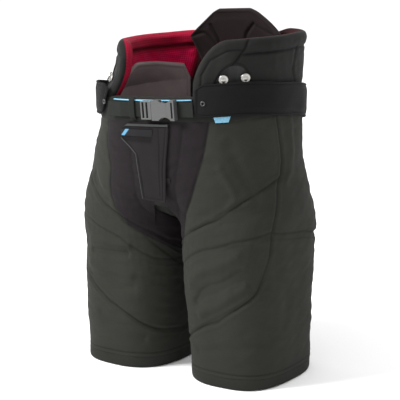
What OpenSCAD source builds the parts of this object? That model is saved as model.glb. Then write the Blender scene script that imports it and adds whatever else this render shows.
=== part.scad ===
// Ice hockey pants: padded legs, seat, kidney wings, spine pad, belt and buckle.
// Millimetres, +Z up. The floor is under the hems, the wearer faces -Y and their left is +X.

/* [Waist] */
// Width of the waistband, outside
waist_w = 346; // [310:1:430]
// Distance from the hip axis to the front of the waistband
waist_front = 137; // [115:1:165]
// Distance from the hip axis to the back of the waistband
waist_back = 133; // [112:1:160]
// Height of the waistband's lower edge above the floor
waist_z = 452; // [430:1:545]
// Height of the waistband
waistband_h = 39; // [34:1:48]
// How far the waist rises towards the wearer's left, for each millimetre across
waist_rise = 0.09; // [0:0.01:0.12]
// How far the waist stands towards the wearer's left
waist_sway = 6; // [0:1:10]

/* [Hips and legs] */
// Width across both hips, outside
hip_w = 404; // [375:1:486]
// Distance from the hip axis to the back of the seat
seat_back = 139; // [125:1:168]
// Height of the crotch above the floor
crotch_z = 259; // [215:1:311]
// Width of one leg at the crotch
thigh_w = 196; // [160:1:198]
// Depth of one leg at the crotch
thigh_d = 246; // [205:1:260]
// Width of one leg at the hem
hem_w = 172; // [140:1:206]
// Depth of one leg at the hem
hem_d = 216; // [180:1:259]
// Distance from the middle plane to a leg's centre at the hem
hem_spread = 110; // [108:1:132]
// Height of the folded hem band
hem_h = 20; // [14:1:26]

/* [Layers] */
// Thickness of the outer cloth
shell_t = 2.2; // [1.5:0.1:3]
// Thickness of the plastic guards
plate_t = 2.4; // [1.8:0.1:3.2]
// Thickness of the foam behind the guards
foam_t = 8.5; // [6:0.1:11]
// Thickness of the lining
lining_t = 1.6; // [1.2:0.1:2.2]
// Space between two layers
layer_gap = 0.5; // [0.4:0.05:0.8]

/* [Kidney wings and spine pad] */
// Height of the wings' top edge above the floor
wing_top = 583; // [540:1:640]
// How far the left wing leans outwards at the top
left_wing_lean = 9; // [0:1:16]
// How far the right wing leans inwards at the top
right_wing_lean = 30; // [0:1:36]
// Height of the arch cut in each wing for the suspender buttons
arch_top = 541; // [530:1:556]
// Height of the spine pad's top edge
spine_top = 617; // [600:1:680]
// Width of the spine pad's top edge
spine_top_w = 76; // [60:1:96]
// Width of the spine pad at its shoulders
spine_w = 190; // [160:1:200]

/* [Belt] */
// Width of the belt webbing
webbing_w = 25; // [20:1:30]
// Thickness of the belt webbing
webbing_t = 1.6; // [1.2:0.1:2]
// Height of the padded hip bands
hip_band_h = 48; // [42:1:60]
// Height of the buckle
buckle_h = 34; // [31:1:38]
// How far the buckle's male half runs along its webbing
buckle_travel = 17; // [14:0.5:20]

/* [Fly] */
// Height of the fly flap
fly_h = 132; // [110:1:156]
// Distance from the middle plane to the flap's sewn edge
fly_hinge_x = 29; // [22:1:34]

/* [Hidden] */

LEFT = 1;
RIGHT = -1;
BOTH = [LEFT, RIGHT];

// Layers, as depths under the outer surface: each is [outer depth, inner depth].
shell_layer = [0, shell_t];
guard_layer = [shell_t + layer_gap, shell_t + layer_gap + plate_t];
foam_layer = [guard_layer[1] + layer_gap, guard_layer[1] + layer_gap + foam_t];
lining_layer = [foam_layer[1] + layer_gap, foam_layer[1] + layer_gap + lining_t];
comfort_t = 7;
comfort_gap = 0.95;
comfort_layer = [lining_layer[1] + comfort_gap, lining_layer[1] + comfort_gap + comfort_t];
trim_t = 1.2;
trim_layer = [-layer_gap - trim_t, -layer_gap];

// The hip axis runs along X. Trunk pieces stay inside the hip circle round it, legs outside.
hip_radius = max(waist_front, waist_back, seat_back) + 6;
hip_axis_z = crotch_z + hip_radius;
hip_gap = 1.4;
leg_radius = hip_radius + hip_gap;
lining_radius = hip_radius - 5;
fly_clearance = 21;
crotch_half_w = 30;
leg_split = 4;
leg_centre_y = 3;
waist_top = waist_z + waistband_h;
blend_top = crotch_z + 90;

trunk_power = 2.5;
leg_power = 2.7;
trunk_columns = 18;
seam_share = 0.0009;

wing_front_angle = -71.5;
wing_back_angle = 72;
arch_angles = [-59, -31];
band_front_angle = -70;
band_back_angle = 74;
band_standoff = 4.4;
band_t = 3.2;
band_drop = 34;
right_skew = 8;
right_wing_start = 5;
right_wing_twist = 0.8;

button_angles = [-52, -37];
button_z = waist_top + 28.5;
button_head_r = 8;
button_head_t = 2.4;
button_post_r = 3;
button_post_l = 3.4;
button_clearance = 0.25;

belt_z = waist_z + 21;
belt_back_y = -waist_front - layer_gap;
buckle_x = [-21, 46];
buckle_joint_x = 0;
buckle_t = 10;
buckle_wall = 2;
buckle_fit = 0.35;
bar_w = 3.2;
loop_x = [-50, -39];
loop_fit = 0.35;
webbing_left_end = 76.2;
webbing_bend = [-70, -98.6];

fly_top = waist_z - 3;
fly_t = 2.4;

function mix(a, b, t) = a + (b - a) * t;
function clamp01(t) = min(max(t, 0), 1);
function ease(t) = let (c = clamp01(t)) c * c * (3 - 2 * c);
function span(a, b, n) = [for (i = [0:n]) mix(a, b, i / n)];
function power(v, p) = sign(v) * pow(abs(v), 2 / p);

// Trunk section at height z: a superellipse, deeper at the seat.
function trunk_half_w(z) =
    mix(hip_w, waist_w, ease((z - crotch_z) / (waist_z - crotch_z))) / 2;
function trunk_back(z) =
    mix(seat_back, waist_back, ease((z - blend_top) / (waist_z - blend_top)));
// Above the waist it leans out evenly, or in with a bend close to the waist, most at the front.
function lean(z, reach) = let (s = clamp01((z - waist_top) / (wing_top - waist_top)))
    reach * (reach > 0 ? s : 1 - pow(1 - s, 2.2));
function trunk_point(angle, z, depth, reach = 0) =
    let (twist = reach < 0 ? right_wing_twist * clamp01(-angle / 60) : 0,
         out = lean(z, reach) * (1 + twist), front = max(out, 0) / 3) [
        (trunk_half_w(z) + out - depth) * power(cos(angle), trunk_power),
        ((angle < 0 ? waist_front : trunk_back(z)) + front - depth) * power(sin(angle), trunk_power),
        z
    ];
function wing_reach(side) = side == LEFT ? left_wing_lean : -right_wing_lean;
// The right-hand wing and band start a little further round the side than the left-hand ones.
function skew(angle, side) =
    angle + (side == LEFT ? 0 : right_skew * clamp01((40 - angle) / 80));

// The garment rests with its waist pushed over: above this height it rises to the left.
settle_z = hip_axis_z - 38;
function settle(p) = let (s = ease((p[2] - settle_z) / (waist_z - settle_z)))
    [p[0] + waist_sway * s, p[1], p[2] + waist_rise * p[0] * s];

// Leg section at height z: a rounder superellipse that tapers from the crotch to the hem.
function leg_share(z) = clamp01(z / crotch_z);
function leg_half_w(z) = mix(hem_w, thigh_w, leg_share(z)) / 2;
function leg_half_d(z) = mix(hem_d, thigh_d, leg_share(z)) / 2;
function leg_centre_x(z) = mix(hem_spread, leg_split + thigh_w / 2, leg_share(z));
function leg_point(angle, z, depth) = [
    leg_centre_x(z) + (leg_half_w(z) - depth) * power(cos(angle), leg_power),
    leg_centre_y + (leg_half_d(z) - depth) * power(sin(angle), leg_power),
    z
];

// Outer surface of one side: t runs 0..1 from the front middle round the hip to the back middle.
// Below the blend the trunk divides into the two legs. From 1 to 4/3, t is the leg's inner wall.
function leg_weight(z) = ease((blend_top - z) / (blend_top - crotch_z));
function side_point(t, z, depth) =
    t > 1 ? leg_point(270 * t - 135, z, depth)
    : mix(trunk_point(180 * t - 90, z, depth), leg_point(270 * t - 135, z, depth), leg_weight(z));

// Height at which the surface meets a circle of radius r round the hip axis, closer at each step.
function arc_z(y, r) = hip_axis_z - sqrt(max(r * r - y * y, 0));
function meet_z(t, depth, r, z, steps) =
    steps == 0 ? z : meet_z(t, depth, r, arc_z(side_point(t, z, depth)[1], r), steps - 1);
function trunk_low_z(t, depth) =
    meet_z(t, depth, depth > shell_t ? lining_radius : hip_radius, blend_top, 9);
function near_fly(t) = abs(side_point(t, crotch_z + 50, 0)[0]) < fly_hinge_x + 14;
function leg_top_z(t, depth) =
    meet_z(t, depth, leg_radius + (near_fly(t) ? fly_clearance : 0), crotch_z + 50, 9);

function face_side(points, side) = [for (p = points) settle([p[0] * side, p[1], p[2]])];
function grid_quads(rows, cols, start, wrap) = [
    for (r = [0:rows - 2], c = [0:cols - (wrap ? 1 : 2)])
        let (a = start + r * cols + c, b = start + r * cols + (c + 1) % cols)
        [a, b, b + cols, a + cols]
];
function split(quads) = [for (q = quads) each [[q[0], q[1], q[2]], [q[0], q[2], q[3]]]];
function flip(faces) = [for (f = faces) [f[2], f[1], f[0]]];
function rim_quads(rows, cols, wrap) = let (n = rows * cols, last = (rows - 1) * cols) [
    for (c = [0:cols - (wrap ? 1 : 2)]) let (d = (c + 1) % cols) each [
        [d, c, c + n, d + n],
        [last + c, last + d, last + d + n, last + c + n]
    ],
    if (!wrap) for (r = [0:rows - 2]) let (a = r * cols, b = a + cols) each [
        [a, b, b + n, a + n],
        [b + cols - 1, a + cols - 1, a + cols - 1 + n, b + cols - 1 + n]
    ]
];

// A closed slab between two grids of points, each a list of rows. Its left-hand copy is mirrored.
module slab(outer, inner, wrap = false, side = LEFT) {
    rows = len(outer);
    cols = len(outer[0]);
    points = [for (row = concat(outer, inner)) each face_side(row, side)];
    faces = concat(
        flip(split(grid_quads(rows, cols, 0, wrap))),
        split(grid_quads(rows, cols, rows * cols, wrap)),
        flip(split(rim_quads(rows, cols, wrap)))
    );
    polyhedron(points, side == LEFT ? faces : flip(faces));
}

// A panel of one layer on one side. low and high give its edge heights for each (t, depth).
function panel_grid(ts, shares, depth, low, high) = [
    for (s = shares) [for (t = ts) side_point(t, mix(low(t, depth), high(t, depth), s), depth)]
];
module panel(ts, rows, layer, low, high, side, wrap = false) {
    shares = span(0, 1, rows);
    slab(panel_grid(ts, shares, layer[0], low, high),
         panel_grid(ts, shares, layer[1], low, high), wrap, side);
}

// A panel above the waist, on trunk angles. low and high give its edge heights for each angle,
// and reach is how far it leans out at the wings' top.
module band(angles, rows, layer, low, high, side, reach = 0, wrap = false) {
    grids = [for (depth = layer)
        [for (s = span(0, 1, rows))
            [for (a = angles) trunk_point(skew(a, side), mix(low(a), high(a), s), depth, reach)]]];
    slab(grids[0], grids[1], wrap, side);
}
function full_turn(n) = [for (i = [0:n - 1]) -180 + 360 * i / n];

// The frame's origin is under the middle of the whole depth, from the buckle to the seat.
module placed() {
    translate([0, -(buckle_y[0] + seat_back) / 2, 0]) children();
}

// ---- legs ----
leg_ts = [for (i = [0:35]) i / 27];
module leg_layer(layer, rows, low, high, side) {
    panel(leg_ts, rows, layer, low, high, side, true);
}
module leg_shell(side) {
    color([0.23, 0.24, 0.22])
        leg_layer(shell_layer, 8, function (t, d) hem_h + 0.3, leg_top_z_at, side);
}
leg_top_z_at = function (t, d) leg_top_z(t, d);
module hem_band(side) {
    color([0.18, 0.18, 0.17])
        leg_layer([-1, lining_layer[0] - layer_gap], 1, function (t, d) 0, function (t, d) hem_h, side);
}
module leg_lining(side) {
    color([0.12, 0.12, 0.13])
        leg_layer(lining_layer, 9, function (t, d) hem_h + 0.3, leg_top_z_at, side);
}
thigh_ts = [for (i = [1:17]) i / 27];
thigh_low = 45;
thigh_high = crotch_z - 12;
module thigh_guard(side) {
    color([0.85, 0.85, 0.82])
        panel(thigh_ts, 7, guard_layer, function (t, d) thigh_low + 8,
              function (t, d) thigh_high - 8, side);
}
module thigh_foam(side) {
    color([0.9, 0.88, 0.7])
        panel(thigh_ts, 7, foam_layer, function (t, d) thigh_low, function (t, d) thigh_high, side);
}

// ---- hips and seat ----
trunk_rows = 9;
trunk_low_at = function (t, d) trunk_low_z(t, d);
trunk_high_at = function (t, d) waist_z - 0.4;
front_seam = 3 / trunk_columns;
side_seam = 7 / trunk_columns;
back_seam = 12 / trunk_columns;
module trunk_panel(from, to, columns, layer, side) {
    panel(span(from + seam_share, to - seam_share, columns), trunk_rows, layer,
          trunk_low_at, trunk_high_at, side);
}
module hip_shell(side) {
    color([0.24, 0.25, 0.23]) trunk_panel(side_seam, back_seam, 5, shell_layer, side);
}
module stretch_panel(side) {
    color([0.2, 0.17, 0.19]) trunk_panel(front_seam, side_seam, 4, shell_layer, side);
}
module hip_guard(side) {
    color([0.85, 0.85, 0.82])
        panel(span(side_seam, back_seam, 5), trunk_rows, guard_layer,
              function (t, d) trunk_low_z(t, d) + 6, function (t, d) waist_z - 12, side);
}
module hip_foam(side) {
    color([0.9, 0.88, 0.7])
        panel(span(side_seam, back_seam, 5), trunk_rows, foam_layer,
              function (t, d) trunk_low_z(t, d) + 3, function (t, d) waist_z - 6, side);
}

// Pieces across the middle: t is negative on the right-hand side.
function mirrored_point(t, z, depth) =
    let (p = side_point(abs(t), z, depth)) [p[0] * (t < 0 ? RIGHT : LEFT), p[1], p[2]];
function middle_grid(ts, shares, depth, low, high) = [
    for (s = shares) [
        for (t = ts) mirrored_point(t, mix(low(abs(t), depth), high(abs(t), depth), s), depth)
    ]
];
module middle_panel(ts, rows, layer, low, high) {
    shares = span(0, 1, rows);
    slab(middle_grid(ts, shares, layer[0], low, high), middle_grid(ts, shares, layer[1], low, high));
}
// From the left back seam round the back to the right back seam, or across the front.
function back_ts(from, n) = concat(span(from, 1, n), [for (i = [1:n]) -mix(1, from, i / n)]);
function front_ts(to, n) = span(-to, to, 2 * n);
module seat_shell() {
    color([0.22, 0.23, 0.21])
        middle_panel(back_ts(back_seam + seam_share, 6), trunk_rows, shell_layer,
                     trunk_low_at, trunk_high_at);
}
module tailbone_layer(layer, edge) {
    middle_panel(back_ts(15 / trunk_columns, 3), trunk_rows, layer,
                 function (t, d) trunk_low_z(t, d) + edge, function (t, d) waist_z - 2 * edge);
}
module tailbone_guard() {
    color([0.85, 0.85, 0.82]) tailbone_layer(guard_layer, 8);
}
module tailbone_foam() {
    color([0.9, 0.88, 0.7]) tailbone_layer(foam_layer, 4);
}
module fly_facing() {
    color([0.2, 0.2, 0.2])
        middle_panel(front_ts(front_seam - seam_share, 3), trunk_rows, shell_layer,
                     trunk_low_at, trunk_high_at);
}
module trunk_lining() {
    color([0.12, 0.12, 0.13])
        slab(lining_rows(lining_layer[0]), lining_rows(lining_layer[1]), true);
}
function lining_rows(depth) = let (n = trunk_columns) [
    for (s = span(0, 1, trunk_rows)) [
        for (t = concat(span(0, 1, n), [for (i = [1:n - 1]) -(1 - i / n)]))
            mirrored_point(t, mix(trunk_low_z(abs(t), depth), waist_z - 0.4, s), depth)
    ]
];

// The gusset follows the hip circle from the fly, between the legs, up to the seat.
module crotch_gusset() {
    reach = 67;
    color([0.19, 0.2, 0.17])
        translate([-crotch_half_w, 0, hip_axis_z])
            rotate([0, 90, 0])
                difference() {
                    cylinder(r = hip_radius - 0.2, h = 2 * crotch_half_w, $fn = 120);
                    translate([0, 0, -1])
                        cylinder(r = hip_radius - 0.2 - shell_t, h = 2 * crotch_half_w + 2, $fn = 120);
                    for (way = BOTH)
                        rotate([0, 0, way * reach])
                            translate([-2 * hip_radius, way > 0 ? 0 : -4 * hip_radius, -1])
                                cube([4 * hip_radius, 4 * hip_radius, 2 * crotch_half_w + 2]);
                }
}

// ---- waistband ----
module ring_band(layer, low, high) {
    band(full_turn(48), 1, layer, function (a) low, function (a) high, LEFT, 0, true);
}
module waistband() {
    color([0.2, 0.21, 0.19]) ring_band([0, 4], waist_z, waist_top);
}
module waist_padding() {
    color([0.14, 0.14, 0.15]) ring_band([4 + layer_gap, lining_layer[1]], waist_z, waist_top);
}
piping_z = belt_z + webbing_w / 2 + 0.8;
piping_h = 3;
module waist_piping() {
    color([0.5, 0.75, 0.85])
        band(span(-180 - skew(wing_front_angle, RIGHT), wing_front_angle, 12), 1, trim_layer,
             function (a) piping_z, function (a) piping_z + piping_h, LEFT);
}

// ---- kidney wings ----
// The top edge rises from the front end in a quarter-round curve, then falls a little to the back.
wing_seat = waist_top + 0.5;
wing_nose_h = 18;
wing_rise_angle = 22;
function wing_start(side) = wing_front_angle + (side == LEFT ? 0 : right_wing_start);
function wing_angles(side) =
    [for (i = [0:34]) mix(wing_start(side), wing_back_angle, pow(i / 34, 1.4))];
function wing_edge(a, side) =
    let (s = clamp01((a - wing_start(side)) / wing_rise_angle))
    mix(wing_seat + wing_nose_h, wing_top, pow(1 - pow(1 - s, 2), 0.62))
        - 5 * clamp01((a + 30) / 60) - 8 * ease((a - 54) / 18);
function arch_edge(a, rise) =
    let (mid = (arch_angles[0] + arch_angles[1]) / 2, half = (arch_angles[1] - arch_angles[0]) / 2,
         s = (a - mid) / half)
    wing_seat + (abs(s) < 1 ? (arch_top + rise - wing_seat) * sqrt(1 - s * s) : 0);
module wing_layer(layer, rise, inset, side) {
    band([for (a = wing_angles(side)) mix(a, 0, inset / 150)], 5, layer,
         function (a) rise < 0 ? wing_seat + inset : arch_edge(a, rise) + min(inset, 3),
         function (a) wing_edge(a, side) - inset, side, wing_reach(side));
}
module wing_shell(side) {
    color([0.17, 0.17, 0.17]) wing_layer(shell_layer, 0, 0, side);
}
module wing_guard(side) {
    color([0.85, 0.85, 0.82]) wing_layer(guard_layer, 4, 9, side);
}
module wing_foam(side) {
    color([0.9, 0.88, 0.7]) wing_layer(foam_layer, 5, 8, side);
}
module wing_lining(side) {
    color([0.55, 0.05, 0.12]) wing_layer(lining_layer, -1, 0, side);
}
module arch_gusset(side) {
    color([0.1, 0.1, 0.1])
        band(span(arch_angles[0] + 2, arch_angles[1] - 2, 10), 2,
             [guard_layer[0] + button_clearance, guard_layer[1]],
             function (a) wing_seat, function (a) arch_edge(a, 1), side, wing_reach(side));
}
// The pad's top edge, as [angle, height over the waistband]. The left one ends sooner, beside the
// spine pad.
function kidney_back(side) = side == LEFT ? 46 : 60;
function kidney_edge(side) = let (back = kidney_back(side))
    [[-17, -13], [-8, 14], [-3, 43], [20, 37], [back - 10, 28], [back, 1]];
module kidney_pad(side) {
    edge = kidney_edge(side);
    color([0.26, 0.24, 0.25])
        band(concat(span(-17, -3, 4), span(2, kidney_back(side), 8)), 4, comfort_layer,
             function (a) waist_z + 4, function (a) waist_top + lookup(a, edge), side,
             wing_reach(side));
}

// ---- spine pad ----
// Its half-width at height z grows to the shoulders, then narrows to the top edge.
spine_low = waist_top + 0.6;
spine_shoulder = spine_top - 47;
spine_low_w = 0.76 * spine_w;
spine_middle = 19;
spine_clear = [46, 17];
spine_stoop = 33;
spine_front = lining_layer[1] + layer_gap;
function spine_half_w(z) = z < spine_shoulder
    ? mix(spine_low_w, spine_w, (z - spine_low) / (spine_shoulder - spine_low)) / 2
    : mix(spine_w, spine_top_w, pow((z - spine_shoulder) / (spine_top - spine_shoulder), 1.15)) / 2;
// It stands to the left of the middle, and stoops forwards towards its top.
function spine_y(x, z, depth) =
    let (w = waist_w / 2 - spine_clear[x < 0 ? 0 : 1] + spine_front - depth)
    (waist_back - depth) * pow(1 - pow(abs(x) / w, trunk_power), 1 / trunk_power)
        - spine_stoop * pow((z - spine_low) / (spine_top - spine_low), 2);
function spine_grid(depth, inset) = [
    for (z = concat(span(spine_low + inset, spine_shoulder, 4),
                    [for (s = [1:3]) mix(spine_shoulder, spine_top - inset, s / 3)]))
        [for (s = span(1, -1, 12))
            let (x = spine_middle + s * (spine_half_w(z) - inset)) [x, spine_y(x, z, depth), z]]
];
module spine_slab(front, back, inset) {
    slab(spine_grid(spine_front + front, inset), spine_grid(spine_front + back, inset));
}
spine_cover_t = 1.4;
spine_foam_t = 9;
module spine_back_cover() {
    color([0.15, 0.13, 0.13]) spine_slab(0, spine_cover_t, 0);
}
module spine_guard() {
    start = spine_cover_t + 1.2 * layer_gap;
    color([0.85, 0.85, 0.82]) spine_slab(start, start + plate_t, 6);
}
module spine_pad() {
    start = spine_cover_t + plate_t + 2.4 * layer_gap;
    color([0.17, 0.14, 0.14]) spine_slab(start, start + spine_foam_t, 0);
}

// ---- hip bands ----
// The bands hang lower at the back than at the front.
function band_low(a) = waist_z + 7 - band_drop * ease((a + 45) / 100);
module hip_band(side) {
    color([0.16, 0.16, 0.16])
        band(span(band_front_angle, band_back_angle, 16), 2, [-band_standoff - band_t, -band_standoff],
             function (a) band_low(a) + (a < band_front_angle + 4 ? 5 : 0),
             function (a) band_low(a) + hip_band_h - (a < band_front_angle + 4 ? 9 : 0), side,
             max(wing_reach(side), 0));
}

// Places a child on the trunk surface at an angle and height, with +Z along the outward normal.
module on_trunk(angle, z, side, reach) {
    at = function (a, h)
        face_side([trunk_point(skew(angle + a, side), z + h, 0, reach)], side)[0];
    normal = cross(at(0.5, 0) - at(-0.5, 0), at(0, 0.5) - at(0, -0.5)) * side;
    translate(at(0, 0))
        rotate([0, acos(normal[2] / norm(normal)), atan2(normal[1], normal[0])])
            children();
}
eyelet_angle = band_front_angle + 6;
module band_eyelets() {
    color([0.45, 0.45, 0.46])
        for (side = BOTH)
            on_trunk(eyelet_angle, band_low(eyelet_angle) + hip_band_h / 2, side, max(wing_reach(side), 0))
                translate([0, 0, band_standoff + band_t + 0.9])
                    difference() {
                        cylinder(r = 4.2, h = 1.4, $fn = 48);
                        translate([0, 0, -1]) cylinder(r = 2, h = 4, $fn = 48);
                    }
}
module suspender_buttons() {
    color([0.7, 0.7, 0.7])
        for (side = BOTH, angle = button_angles)
            on_trunk(angle, button_z, side, wing_reach(side))
                translate([0, 0, -guard_layer[0] + 0.4]) {
                    cylinder(r = button_post_r, h = button_post_l, $fn = 48);
                    translate([0, 0, button_post_l])
                        cylinder(r = button_head_r, h = button_head_t, $fn = 48);
                }
}
module side_tag() {
    color([0.55, 0.76, 0.86])
        band(span(-58, -47, 3), 1, trim_layer, function (a) waist_z - 3,
             function (a) waist_z + 6, LEFT);
}

// ---- belt and buckle ----
module block(x, y, z) {
    translate([x[0], y[0], z[0]]) cube([x[1] - x[0], y[1] - y[0], z[1] - z[0]]);
}
function around(middle, size) = [middle - size / 2, middle + size / 2];
module on_belt() {
    translate([waist_sway, 0, belt_z])
        rotate([0, -atan(waist_rise), 0])
            translate([0, 0, -belt_z]) children();
}
webbing_y = [belt_back_y - webbing_t, belt_back_y];
webbing_set_back = 6.15;
module belt_left() {
    color([0.23, 0.24, 0.22])
        block([buckle_x[1] - bar_w - 1.6 + buckle_fit, webbing_left_end], webbing_y,
              around(belt_z, webbing_w));
}
module belt_right() {
    color([0.23, 0.24, 0.22])
        translate([0, 0, belt_z - webbing_w / 2])
            linear_extrude(webbing_w)
                polygon([
                    [buckle_x[0] + bar_w + 2, webbing_y[1]], [webbing_bend[0], webbing_y[1]],
                    [webbing_bend[1], webbing_y[1] + webbing_set_back],
                    [webbing_bend[1], webbing_y[0] + webbing_set_back],
                    [webbing_bend[0], webbing_y[0]], [buckle_x[0] + bar_w + 2, webbing_y[0]]
                ]);
}
module belt_loop() {
    loop_t = 1.8;
    color([0.2, 0.21, 0.19])
        difference() {
            block(loop_x, [webbing_y[0] - loop_fit - loop_t, -waist_front - 0.15],
                  [belt_z - webbing_w / 2 - 5, belt_z + webbing_w / 2 + 7.5]);
            block([loop_x[0] - 1, loop_x[1] + 1], [webbing_y[0] - loop_fit, 0],
                  around(belt_z, webbing_w + 2 * loop_fit));
            block([loop_x[0] - 1, loop_x[1] + 1], [-waist_front - layer_gap - trim_t - loop_fit, 0],
                  [belt_z, piping_z + piping_h + loop_fit]);
        }
}
buckle_y = [webbing_y[0] - buckle_fit - buckle_t, webbing_y[0] - buckle_fit];
prong_reach = buckle_travel - 1;
arm_h = 5;
arm_z = buckle_h / 2 - arm_h - 0.4;
module buckle_female() {
    inside_x = [buckle_joint_x - 1, prong_reach + 2.5];
    color([0.42, 0.43, 0.42])
        difference() {
            block([buckle_joint_x + buckle_fit, buckle_x[1]], buckle_y, around(belt_z, buckle_h));
            block(inside_x, [buckle_y[0] + buckle_wall, buckle_y[1] - buckle_wall],
                  around(belt_z, buckle_h + 2));
            for (way = BOTH)
                translate([buckle_x[1] / 2 + 3, buckle_y[0] - 1, belt_z + way * (buckle_h / 2 + 10.5)])
                    rotate([-90, 0, 0]) cylinder(r = 16, h = buckle_t + 4, $fn = 64);
            block([buckle_x[1] - bar_w - 3.2, buckle_x[1] - bar_w], [buckle_y[0] - 1, buckle_y[1] + 1],
                  around(belt_z, webbing_w + 1));
        }
}
tongue_h = 7;
module buckle_male() {
    inner_y = [buckle_y[0] + buckle_wall + buckle_fit, buckle_y[1] - buckle_wall - buckle_fit];
    color([0.4, 0.41, 0.4]) {
        difference() {
            block([buckle_x[0], buckle_joint_x], buckle_y, around(belt_z, buckle_h - 3));
            for (x = [buckle_x[0] + bar_w, buckle_x[0] + 2 * bar_w + 4.5])
                block([x, x + 3.6], [buckle_y[0] - 1, buckle_y[1] + 1], around(belt_z, webbing_w + 1));
        }
        block([buckle_joint_x, prong_reach], inner_y, around(belt_z, tongue_h));
    }
}
module latch_arm(way) {
    inner_y = [buckle_y[0] + buckle_wall + buckle_fit, buckle_y[1] - buckle_wall - buckle_fit];
    color([0.34, 0.35, 0.34])
        translate([0, 0, belt_z])
            mirror([0, 0, way < 0 ? 1 : 0]) {
                block([buckle_joint_x + 0.3, prong_reach], inner_y, [arm_z, arm_z + 2.6]);
                block([buckle_joint_x + 6, prong_reach - 1], inner_y, [arm_z + 2.6, arm_z + arm_h]);
            }
}
module latch_arm_upper() { latch_arm(1); }
module latch_arm_lower() { latch_arm(-1); }

// ---- fly flap ----
// The flap's free edge, as [distance below the top edge, x]: a wide tab over a narrow strip.
fly_edge = [[0, -56], [11, -74], [28, -69], [41, -50], [54, -34], [80, -28], [fly_h, -18]];
function fly_free_x(drop) = lookup(drop, fly_edge);
fly_drops = [0, 11, 20, 28, 41, 54, 80, 106, fly_h];
function fly_rest_y(x) =
    -waist_front * pow(1 - pow(abs(x) / (waist_w / 2), trunk_power), 1 / trunk_power);
function fly_grid(drops, columns, from, to, depth) = [
    for (drop = [for (i = [len(drops) - 1:-1:0]) drops[i]]) [
        for (s = span(0, 1, columns))
            let (x = mix(from(drop), to(drop), s))
            [x, fly_rest_y(x) - depth, fly_top - drop]
    ]
];
module fly_slab(drops, columns, from, to, layer) {
    slab(fly_grid(drops, columns, from, to, layer[1]), fly_grid(drops, columns, from, to, layer[0]));
}
fly_lift = layer_gap + trim_t + 0.4;
fly_layer = [fly_lift, fly_lift + fly_t];
patch_layer = [fly_layer[1] + 0.3, fly_layer[1] + 0.3 + 1];
module fly_flap() {
    color([0.21, 0.2, 0.21])
        fly_slab(fly_drops, 8, function (d) fly_free_x(d), function (d) fly_hinge_x - 0.3, fly_layer);
}
module fly_trim() {
    color([0.4, 0.41, 0.41])
        fly_slab([0, 4], 8, function (d) fly_free_x(d) + 1, function (d) fly_hinge_x - 1, patch_layer);
}
module fly_label() {
    color([0.12, 0.12, 0.12])
        fly_slab([10, 22], 6, function (d) fly_free_x(d) + 3, function (d) -2, patch_layer);
}
// Hook tape on the back of the flap's free edge meets loop tape on the trousers.
strip_gap = 0.3;
strip_t = (fly_lift - strip_gap) / 2 - 0.1;
module fly_strip(layer, shade) {
    color(shade)
        fly_slab([32, 41, 54, 80, 100], 2, function (d) fly_free_x(d) + 4,
                 function (d) fly_free_x(d) + 22, layer);
}
module fly_loop_strip() { fly_strip([0.15, 0.15 + strip_t], [0.13, 0.13, 0.14]); }
module fly_hook_strip() { fly_strip([fly_lift - 0.15 - strip_t, fly_lift - 0.15], [0.2, 0.2, 0.2]); }

placed() leg_shell(LEFT);  // leg_shell_left
placed() leg_shell(RIGHT);  // leg_shell_right
placed() leg_lining(LEFT);  // leg_lining_left
placed() leg_lining(RIGHT);  // leg_lining_right
placed() thigh_guard(LEFT);  // thigh_guard_left
placed() thigh_guard(RIGHT);  // thigh_guard_right
placed() thigh_foam(LEFT);  // thigh_foam_left
placed() thigh_foam(RIGHT);  // thigh_foam_right
placed() hem_band(LEFT);  // hem_band_left
placed() hem_band(RIGHT);  // hem_band_right
placed() hip_shell(LEFT);  // hip_shell_left
placed() hip_shell(RIGHT);  // hip_shell_right
placed() stretch_panel(LEFT);  // stretch_panel_left
placed() stretch_panel(RIGHT);  // stretch_panel_right
placed() hip_guard(LEFT);  // hip_guard_left
placed() hip_guard(RIGHT);  // hip_guard_right
placed() hip_foam(LEFT);  // hip_foam_left
placed() hip_foam(RIGHT);  // hip_foam_right
placed() seat_shell();
placed() tailbone_guard();
placed() tailbone_foam();
placed() fly_facing();
placed() crotch_gusset();
placed() trunk_lining();
placed() waistband();
placed() waist_padding();
placed() waist_piping();
placed() wing_shell(LEFT);  // wing_shell_left
placed() wing_shell(RIGHT);  // wing_shell_right
placed() wing_guard(LEFT);  // wing_guard_left
placed() wing_guard(RIGHT);  // wing_guard_right
placed() wing_foam(LEFT);  // wing_foam_left
placed() wing_foam(RIGHT);  // wing_foam_right
placed() wing_lining(LEFT);  // wing_lining_left
placed() wing_lining(RIGHT);  // wing_lining_right
placed() arch_gusset(LEFT);  // arch_gusset_left
placed() arch_gusset(RIGHT);  // arch_gusset_right
placed() kidney_pad(LEFT);  // kidney_pad_left
placed() kidney_pad(RIGHT);  // kidney_pad_right
placed() spine_pad();
placed() spine_guard();
placed() spine_back_cover();
placed() hip_band(LEFT);  // hip_band_left
placed() hip_band(RIGHT);  // hip_band_right
placed() band_eyelets();
placed() suspender_buttons();
placed() on_belt() belt_left();
placed() on_belt() belt_right();
placed() on_belt() belt_loop();
placed() on_belt() buckle_female();
placed() on_belt() buckle_male();
placed() on_belt() latch_arm_upper();
placed() on_belt() latch_arm_lower();
placed() fly_flap();
placed() fly_trim();
placed() fly_label();
placed() fly_hook_strip();
placed() fly_loop_strip();
placed() side_tag();
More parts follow.
